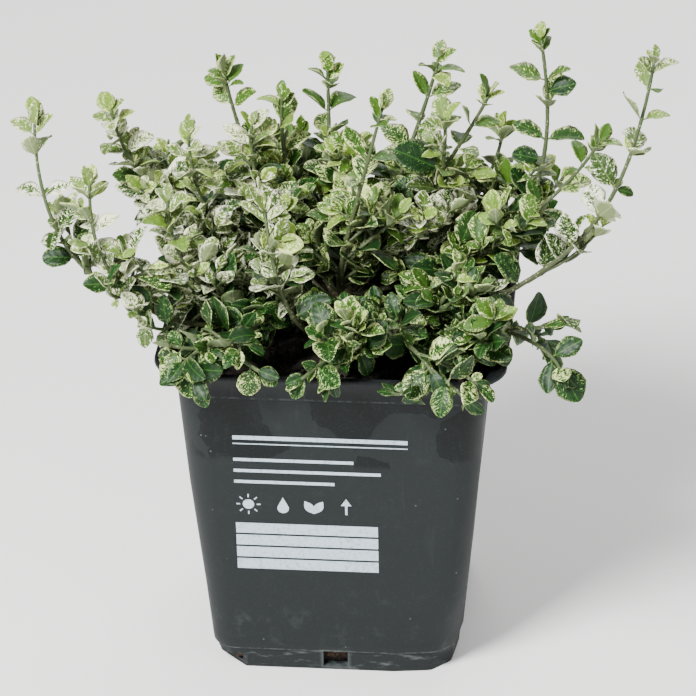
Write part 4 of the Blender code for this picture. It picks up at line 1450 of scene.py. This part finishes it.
@dataclass(frozen=True)
class PlainMarks:
    """The outlines of the print, in millimetres across and up the pot's front.

    They are plain rules, common garden signs and a panel of empty rows, in a layout of
    their own.
    """

    left: float = -25.0
    right: float = 20.0
    panel_right: float = 12.0
    rules: tuple[float, ...] = (31.0, 38.0, 26.0)

    @staticmethod
    def box(x0: float, z0: float, x1: float, z1: float) -> np.ndarray:
        """Returns a rectangle's outline."""
        return np.array(((x0, z0), (x1, z0), (x1, z1), (x0, z1)))

    @staticmethod
    def arc(x: float, z: float, radius: float, first: float, last: float, count: int) -> np.ndarray:
        """Returns points on a circle between two angles."""
        angle = np.linspace(first, last, count)
        return np.stack((x + radius * np.cos(angle), z + radius * np.sin(angle)), -1)

    def sun(self, x: float, z: float, radius: float) -> list[np.ndarray]:
        """Draws a disc and its eight rays.

        Args:
            x: its centre across the pot's front.
            z: its centre's height.
            radius: the disc's radius.
        Returns:
            An outline for the disc and for each ray.
        """
        shapes = [self.arc(x, z, radius, 0, 2 * np.pi * 15 / 16, 16)]
        for number in range(8):
            turn = number * np.pi / 4
            spin = np.array(((math.cos(turn), -math.sin(turn)), (math.sin(turn), math.cos(turn))))
            shapes.append(self.box(1.45, -0.12, 2.1, 0.12) * radius @ spin.T + (x, z))
        return shapes

    def drop(self, x: float, z: float, radius: float) -> np.ndarray:
        """Returns a water drop: an open circle closed by a point above it."""
        round_part = self.arc(x, z, radius, np.pi * 5 / 6, np.pi * 13 / 6, 15)
        return np.concatenate((round_part, ((x, z + 2.3 * radius),)))

    @staticmethod
    def blade(x: float, z: float, length: float, lean: float) -> np.ndarray:
        """Draws a leaf, whose half width is 0.26 x sine(pi x share) of its length.

        Args:
            x: its root across the pot's front.
            z: its root's height.
            length: its length.
            lean: its angle from upright.
        Returns:
            Its outline.
        """
        along = np.concatenate((np.linspace(0, 1, 9), np.linspace(1, 0, 9)[1:-1]))
        side = np.concatenate((-np.ones(9), np.ones(7))) * 0.26 * np.sin(np.pi * along)
        spin = np.array(((math.cos(lean), math.sin(lean)), (-math.sin(lean), math.cos(lean))))
        return np.stack((-side, along), -1) * length @ spin.T + (x, z)

    def outlines(self) -> list[np.ndarray]:
        """Returns every mark's outline, anticlockwise seen from the front."""
        shapes = [self.box(self.left, z, self.right, top) for z, top in ((73.6, 74.8), (72.2, 72.5))]
        for number, length in enumerate(self.rules):
            z = 67.0 - 3.4 * number
            shapes.append(self.box(self.left, z, self.left + length, z + 0.9))
        shapes += [*self.sun(-21.5, 53.6, 1.5), self.drop(-12.5, 52.6, 1.5)]
        shapes += [self.blade(-4.5, 51.2, 4.6, lean) for lean in (-0.55, 0.55)]
        shapes += [self.box(3.6, 51.2, 4.2, 54.0), np.array(((2.5, 54.0), (5.3, 54.0), (3.9, 56.2)))]
        shapes += [self.box(self.left, z, self.panel_right, z + 3.2) for z in (33.0, 36.8, 40.6, 44.4)]
        return shapes


@dataclass(frozen=True)
class PotFinish(Finish):
    """Recycled polypropylene, injection moulded: matt charcoal with dust, faint scuffs and a painted
    highlight along the foot seam and ledge.
    """

    name: str = "moulded_charcoal_polypropylene"
    base: str = "1a1e1f"
    damp: str = "0b0f10"
    dust: str = "292e2f"
    speck: str = "6d726d"
    smear: str = "5c6462"
    # The pale of the scuffs, also used as a painted highlight on the foot seam and ledge
    scuff_and_highlight: str = "7c8583"

    def surface(self, add: partial) -> dict:
        """Lays the nodes: broad damp areas high up, then dust, specks, smears, scuffs, and worn seam and
        ledge lines that also paint a highlight along those edges.
        """
        place = add("TexCoord", {}, "Object")
        x, y, height = add("SeparateXYZ", {0: place}).node.outputs
        wobble = add("TexNoise", {"Vector": place, "Scale": 1 / (9 * MM), "Detail": 2.0}, "Color")
        bent = add("VectorMath", {0: wobble, 1: (7 * MM,) * 3, 2: place}, operation="MULTIPLY_ADD")
        cells = add("TexVoronoi", {"Vector": bent, "Scale": 1 / (15 * MM)}, "Color")
        specks = add("TexVoronoi", {"Vector": place, "Scale": 1 / (6.5 * MM)})
        # Each noise is its size in millimetres, its squeeze along each axis, its detail and roughness
        grit, streaks, smears, scuffs = (
            add("TexNoise", {
                "Vector": add("VectorMath", {0: place, 1: squeeze}, operation="MULTIPLY"),
                "Scale": 1 / (size * MM), "Detail": detail, "Roughness": rough,
            }) for size, squeeze, detail, rough in (
                (0.7, (1.0, 1.0, 1.0), 2.0, 0.5),
                (1.6, (1.0, 1.0, 0.09), 2.0, 0.5),
                (7.0, (1.0, 1.0, 1.0), 6.0, 0.75),
                (2.4, (0.3, 0.3, 1.5), 4.0, 0.7),
            )
        )
        # Each ramp is what it reads, the levels between which it runs and its shares there
        upper, lower, foot, front = (
            add("MapRange", dict(enumerate(ramp))) for ramp in (
                (height, 60 * MM, 82 * MM, 0.25, 1.0),
                (height, 4 * MM, 30 * MM, 0.24, 0.04),
                (height, (FOOT_HEIGHT - 1) * MM, FOOT_HEIGHT * MM, 0.4, 0.0),
                (y, -31 * MM, -30 * MM, 0.32, 0.0),
            )
        )
        wet = add("Math", {0: add("SeparateXYZ", {0: cells}), 1: upper}, operation="MULTIPLY")
        above = add("Math", {0: height, 1: (FLOOR + WINDOW_HEIGHT / 2) * MM}, operation="SUBTRACT")
        beyond = []
        for value, size in ((x, WINDOW_WIDTH), (above, WINDOW_HEIGHT)):
            away = add("Math", {0: value}, operation="ABSOLUTE")
            beyond.append(add("Math", {0: away, 1: size / 2 * MM}, operation="SUBTRACT"))
        frame_edge = add("Math", dict(enumerate(beyond)), operation="MAXIMUM")
        damp, dusty, drawn, dots, smeared, scuffed, framed, *worn = (
            add("MapRange", dict(enumerate(ramp))) for ramp in (
                (wet, 0.43, 0.48, 0.0, 1.0),
                (grit, 0.55, 0.75, 0.0, 0.3),
                (streaks, 0.62, 0.75, 0.0, 0.2),
                (specks, 0.02, 0.045, 0.6, 0.0),
                (smears, 0.56, 0.74, 0.0, lower),
                (scuffs, 0.55, 0.7, 0.0, foot),
                (frame_edge, 0.3 * MM, 1.1 * MM, front, 0.0),
                # These two are the strengths of the seam and ledge lines, which are scratch wear and also a
                # painted highlight along these edges
                (streaks, 0.45, 0.6, 0.028, 0.28),
                (streaks, 0.45, 0.6, 0.012, 0.12),
            )
        )
        # The seam over the foot and the ledge, each with half its height: pale lines of wear that also stand
        # for a painted highlight along these edges
        lines = [
            add("Math", {0: height, 1: level * MM, 2: half * MM}, operation="COMPARE")
            for level, half in ((FOOT_HEIGHT, 0.3), (LEDGE_LEVEL + 0.3, 0.4))
        ]
        framed, seam, ledge = (
            add("Math", {0: one, 1: other}, operation="MULTIPLY")
            for one, other in zip((framed, *lines), (streaks, *worn))
        )
        colour = linear(self.base)
        for coat, over in (
            (damp, self.damp), (dusty, self.dust), (drawn, self.dust), (dots, self.speck),
            (smeared, self.smear), (scuffed, self.scuff_and_highlight), (framed, self.scuff_and_highlight),
            (seam, self.scuff_and_highlight), (ledge, self.scuff_and_highlight),
        ):
            colour = add("Mix", {0: coat, 6: colour, 7: linear(over)}, 2, data_type="RGBA")
        return {
            "Base Color": colour,
            "Roughness": add("MapRange", {0: damp, 3: 0.56, 4: 0.48}),
            "Normal": add("Bump", {"Strength": 0.25, "Distance": 0.12 * MM, "Height": grit}),
            "IOR": 1.49,
            "Specular IOR Level": 0.17,
        }


@dataclass(frozen=True)
class InkFinish(Finish):
    """Pad-printed pale ink, slightly worn, so that the plastic's grit shows through."""

    name: str = "worn_pale_print_ink"
    ink: str = "b3c3cb"
    worn: str = "8795a0"

    def surface(self, add: partial) -> dict:
        """Lays the nodes: a fine grit along which the ink is worn."""
        place = add("TexCoord", {}, "Object")
        grit = add("TexNoise", {"Vector": place, "Scale": 1 / (0.9 * MM), "Detail": 2.0})
        wear = add("MapRange", {0: grit, 1: 0.5, 2: 0.72, 3: 0.0, 4: 0.7})
        sides = {0: wear, 6: linear(self.ink), 7: linear(self.worn)}
        return {"Base Color": add("Mix", sides, 2, data_type="RGBA"), "Roughness": 0.6, "IOR": 1.5}


@dataclass(frozen=True)
class PeatFinish(Finish):
    """Damp sphagnum peat: nearly black crumbs with brown fibres, browner in its lowest few millimetres, which
    is painted light from the drain windows.
    """

    name: str = "damp_dark_peat"
    crumb: str = "120e0a"
    fibre: str = "3b2d20"
    # Painted light: the peat's crumbs and fibres as lit through the drain windows
    lit_crumb: str = "1d130c"
    lit_fibre: str = "6b4f38"

    def surface(self, add: partial) -> dict:
        """Lays the nodes: crumbs and fibres, twice, the second time in painted lit colours, and the height up
        to which those lit colours reach.
        """
        place = add("TexCoord", {}, "Object")
        level = add("SeparateXYZ", {0: place}, 2)
        crumbs = add("TexNoise", {"Vector": place, "Scale": 1 / (1.8 * MM), "Detail": 4.0, "Roughness": 0.65})
        fibres = add("TexVoronoi", {"Vector": place, "Scale": 1 / (1.1 * MM)})
        damp, rooted, window_light = (
            add("MapRange", dict(enumerate(ramp))) for ramp in (
                (crumbs, 0.48, 0.7, 0.0, 0.8),
                (crumbs, 0.5, 0.66, 0.0, 1.0),
                # Painted light: below 6 to 9 mm the peat takes its lit colours, as if light came in through
                # the drain windows
                (level, 6 * MM, 9 * MM, 0.8, 0.0),
            )
        )
        dark, light = (
            add("Mix", {0: share, 6: linear(one), 7: linear(other)}, 2, data_type="RGBA")
            for share, one, other in (
                (damp, self.crumb, self.fibre), (rooted, self.lit_crumb, self.lit_fibre))
        )
        height = add("Math", {0: crumbs, 1: fibres}, operation="ADD")
        return {
            "Base Color": add("Mix", {0: window_light, 6: dark, 7: light}, 2, data_type="RGBA"),
            "Roughness": 0.92,
            "Normal": add("Bump", {"Strength": 0.9, "Distance": 0.8 * MM, "Height": height}),
        }


@dataclass
class Peat:
    """The peat that fills the pot, with crumbs on top."""

    inset: float = WALL + 0.9
    crumbs: int = 420
    corner_steps: int = 6
    side_steps: int = 8
    rough_height: float = 0.9

    def build(self) -> bpy.types.Object:
        """Returns the filled shape: the pot's inside, drawn in to its rough level top.

        The top's roughness is the sum of two sines across X and Y, each bent by the other's.
        """
        heights = np.array((1.6, 6.0, 14.0, 24.0, 57.0, PEAT_TOP - 1.2))
        half, corner = NurseryPot.wall(heights)
        half[:2] = (FOOT_HALF - 0.4, FOOT_HALF)
        rings = rounded_square(half - self.inset, corner - self.inset, self.corner_steps, self.side_steps)
        rings = raised(rings, heights)
        shrink = np.linspace(1, 0.06, 16)[:, None, None]
        top = rings[-1][None] * (1, 1, 0) * shrink
        x, y = top[..., 0], top[..., 1]
        rough = 0.55 * np.sin(0.9 * x + 1.3 * np.sin(0.6 * y)) + 0.45 * np.sin(1.15 * y + 2 * np.sin(0.5 * x))
        fade = np.minimum(1, (1 - shrink[..., 0]) * 8)
        top[..., 2] = PEAT_TOP - 0.2 + rough * fade * self.rough_height
        whole = NurseryPot.dented(np.concatenate((rings, top[1:])))
        pile = Pile()
        pile.add(whole.reshape(-1, 3), tube_faces(*whole.shape[:2]))
        self.scatter(pile)
        return pile.build("peat_fill", PeatFinish().make())

    def scatter(self, pile: Pile) -> None:
        """Adds loose crumbs: octahedra stretched and turned at random, half sunk.

        Args:
            pile: the pile that takes them.
        """
        rng = np.random.default_rng(8)
        corners = np.array(((1, 0, 0), (0, 1, 0), (-1, 0, 0), (0, -1, 0), (0, 0, 1), (0, 0, -1.0)))
        faces = [(0, 1, 4), (1, 2, 4), (2, 3, 4), (3, 0, 4), (1, 0, 5), (2, 1, 5), (3, 2, 5), (0, 3, 5)]
        reach = PEAT_REACH - 5
        for _ in range(self.crumbs):
            size = rng.uniform(0.5, 1.7) * rng.uniform(0.6, 1.3, 3)
            turn = np.array(Matrix.Rotation(rng.uniform(0, 6.28), 3, Vector(rng.normal(size=3))))
            place = np.array((*rng.uniform(-reach, reach, 2), PEAT_TOP + rng.uniform(-0.2, 0.7)))
            pile.add((corners * size * rng.uniform(0.8, 1.2, (6, 1))) @ turn.T + place, faces)


@dataclass(frozen=True)
class PaperFinish(Finish):
    """Matt pale paper."""

    name: str = "pale_paper_floor"
    pale: str = "f4f4f2"

    def surface(self, add: partial) -> dict:
        """Returns the plain values, with no node added."""
        return {"Base Color": linear(self.pale), "Roughness": 0.95}


@dataclass(frozen=True)
class Studio:
    """A plain pale floor, soft light and the camera at the photograph's angle."""

    target: tuple[float, float, float] = (1.34, 0.0, 80.28)
    distance: float = 1000.0
    azimuth: float = math.radians(5.45)
    elevation: float = math.radians(28.19)
    roll: float = math.radians(-0.74)
    focal: float = 196.23
    floor_half: float = 1500.0
    surround: str = "f2f4f6"
    surround_strength: float = 0.42

    def build(self) -> None:
        """Sets up the floor, the lights, the world and the camera."""
        self.floor()
        self.lights()
        self.camera()

    def floor(self) -> None:
        """Adds the plain pale floor, which isn't part of the object."""
        corners = np.array(((-1, -1, 0), (1, -1, 0), (1, 1, 0), (-1, 1, 0))) * self.floor_half
        mesh_object("studio_floor", corners, [(0, 1, 2, 3)], PaperFinish().make())

    def lights(self) -> None:
        """Adds the soft lights, each with its place, size and power, and a pale surround."""
        for name, place, size, power in (
            ("key_light", (-380.0, -560.0, 760.0), 300.0, 25.0),
            ("fill_light", (620.0, -520.0, 420.0), 600.0, 2.6),
            ("back_light", (100.0, 620.0, 620.0), 500.0, 5.0),
        ):
            data = bpy.data.lights.new(name, "AREA")
            data.energy = power
            data.size = size * MM
            light = bpy.data.objects.new(name, data)
            light.location = Vector(place) * MM
            aim = Vector(self.target) * MM - light.location
            light.rotation_euler = aim.to_track_quat("-Z", "Y").to_euler()
            bpy.context.scene.collection.objects.link(light)
        world = bpy.data.worlds.new("pale_surround")
        world.use_nodes = True
        background = world.node_tree.nodes["Background"]
        put(world.node_tree, background, {0: linear(self.surround), 1: self.surround_strength})
        bpy.context.scene.world = world

    def camera(self) -> None:
        """Adds the camera: it looks at the target from the photograph's side and height."""
        az, el, roll = self.azimuth, self.elevation, self.roll
        back = Vector((math.sin(az) * math.cos(el), -math.cos(az) * math.cos(el), math.sin(el)))
        right = Vector((math.cos(az), math.sin(az), 0.0))
        up = back.cross(right)
        turned_right = right * math.cos(roll) + up * math.sin(roll)
        turned_up = up * math.cos(roll) - right * math.sin(roll)
        data = bpy.data.cameras.new("photo_camera")
        data.lens = self.focal
        data.sensor_width = 36.0
        data.clip_start = 0.01
        camera = bpy.data.objects.new("photo_camera", data)
        turn = Matrix((turned_right, turned_up, back)).transposed().to_4x4()
        place = Vector(self.target) * MM + back * (self.distance * MM)
        camera.matrix_world = Matrix.Translation(place) @ turn
        bpy.context.scene.collection.objects.link(camera)
        bpy.context.scene.camera = camera


def keep(piece: bpy.types.Object, slot: str, nodes: list[str]) -> None:
    """Makes a piece ride on the body and hides the CAD nodes that it replaces.

    Args:
        piece: the piece.
        slot: the record's material slot. It is not used.
        nodes: the CAD nodes that it replaces.
    """
    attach(piece, BODY)
    if nodes:
        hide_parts(*nodes)
    LOG.info("piece %s: %d faces", piece.name, len(piece.data.polygons))


def main() -> None:
    """Builds the pot, the peat, the stem, the twigs, the leaves and the studio."""
    logging.basicConfig(level=logging.INFO)
    pot = NurseryPot()
    keep(pot.build(), "pot_plastic", ["pot"])
    keep(pot.print_marks(), "pot_plastic", [])
    keep(Peat().build(), "peat", ["peat"])
    plant = Plant()
    branches = Branches(plant.limbs)
    keep(branches.build(), "bark", [f"bough_{shoot.name}" for shoot in SHOOTS])
    keep(branches.stem(), "bark", ["stem"])
    for finish in Variegation:
        leaves = [leaf for leaf in plant.leaves if leaf.finish == finish]
        nodes = [f"shoot_{shoot.name}" for shoot in SHOOTS if shoot.finish == finish]
        LOG.info("%d leaves are %s", len(leaves), finish.value)
        keep(Foliage(leaves, finish).build(), LEAF_SLOTS[finish], nodes)
    Studio().build()


if __name__ == "__main__":
    main()
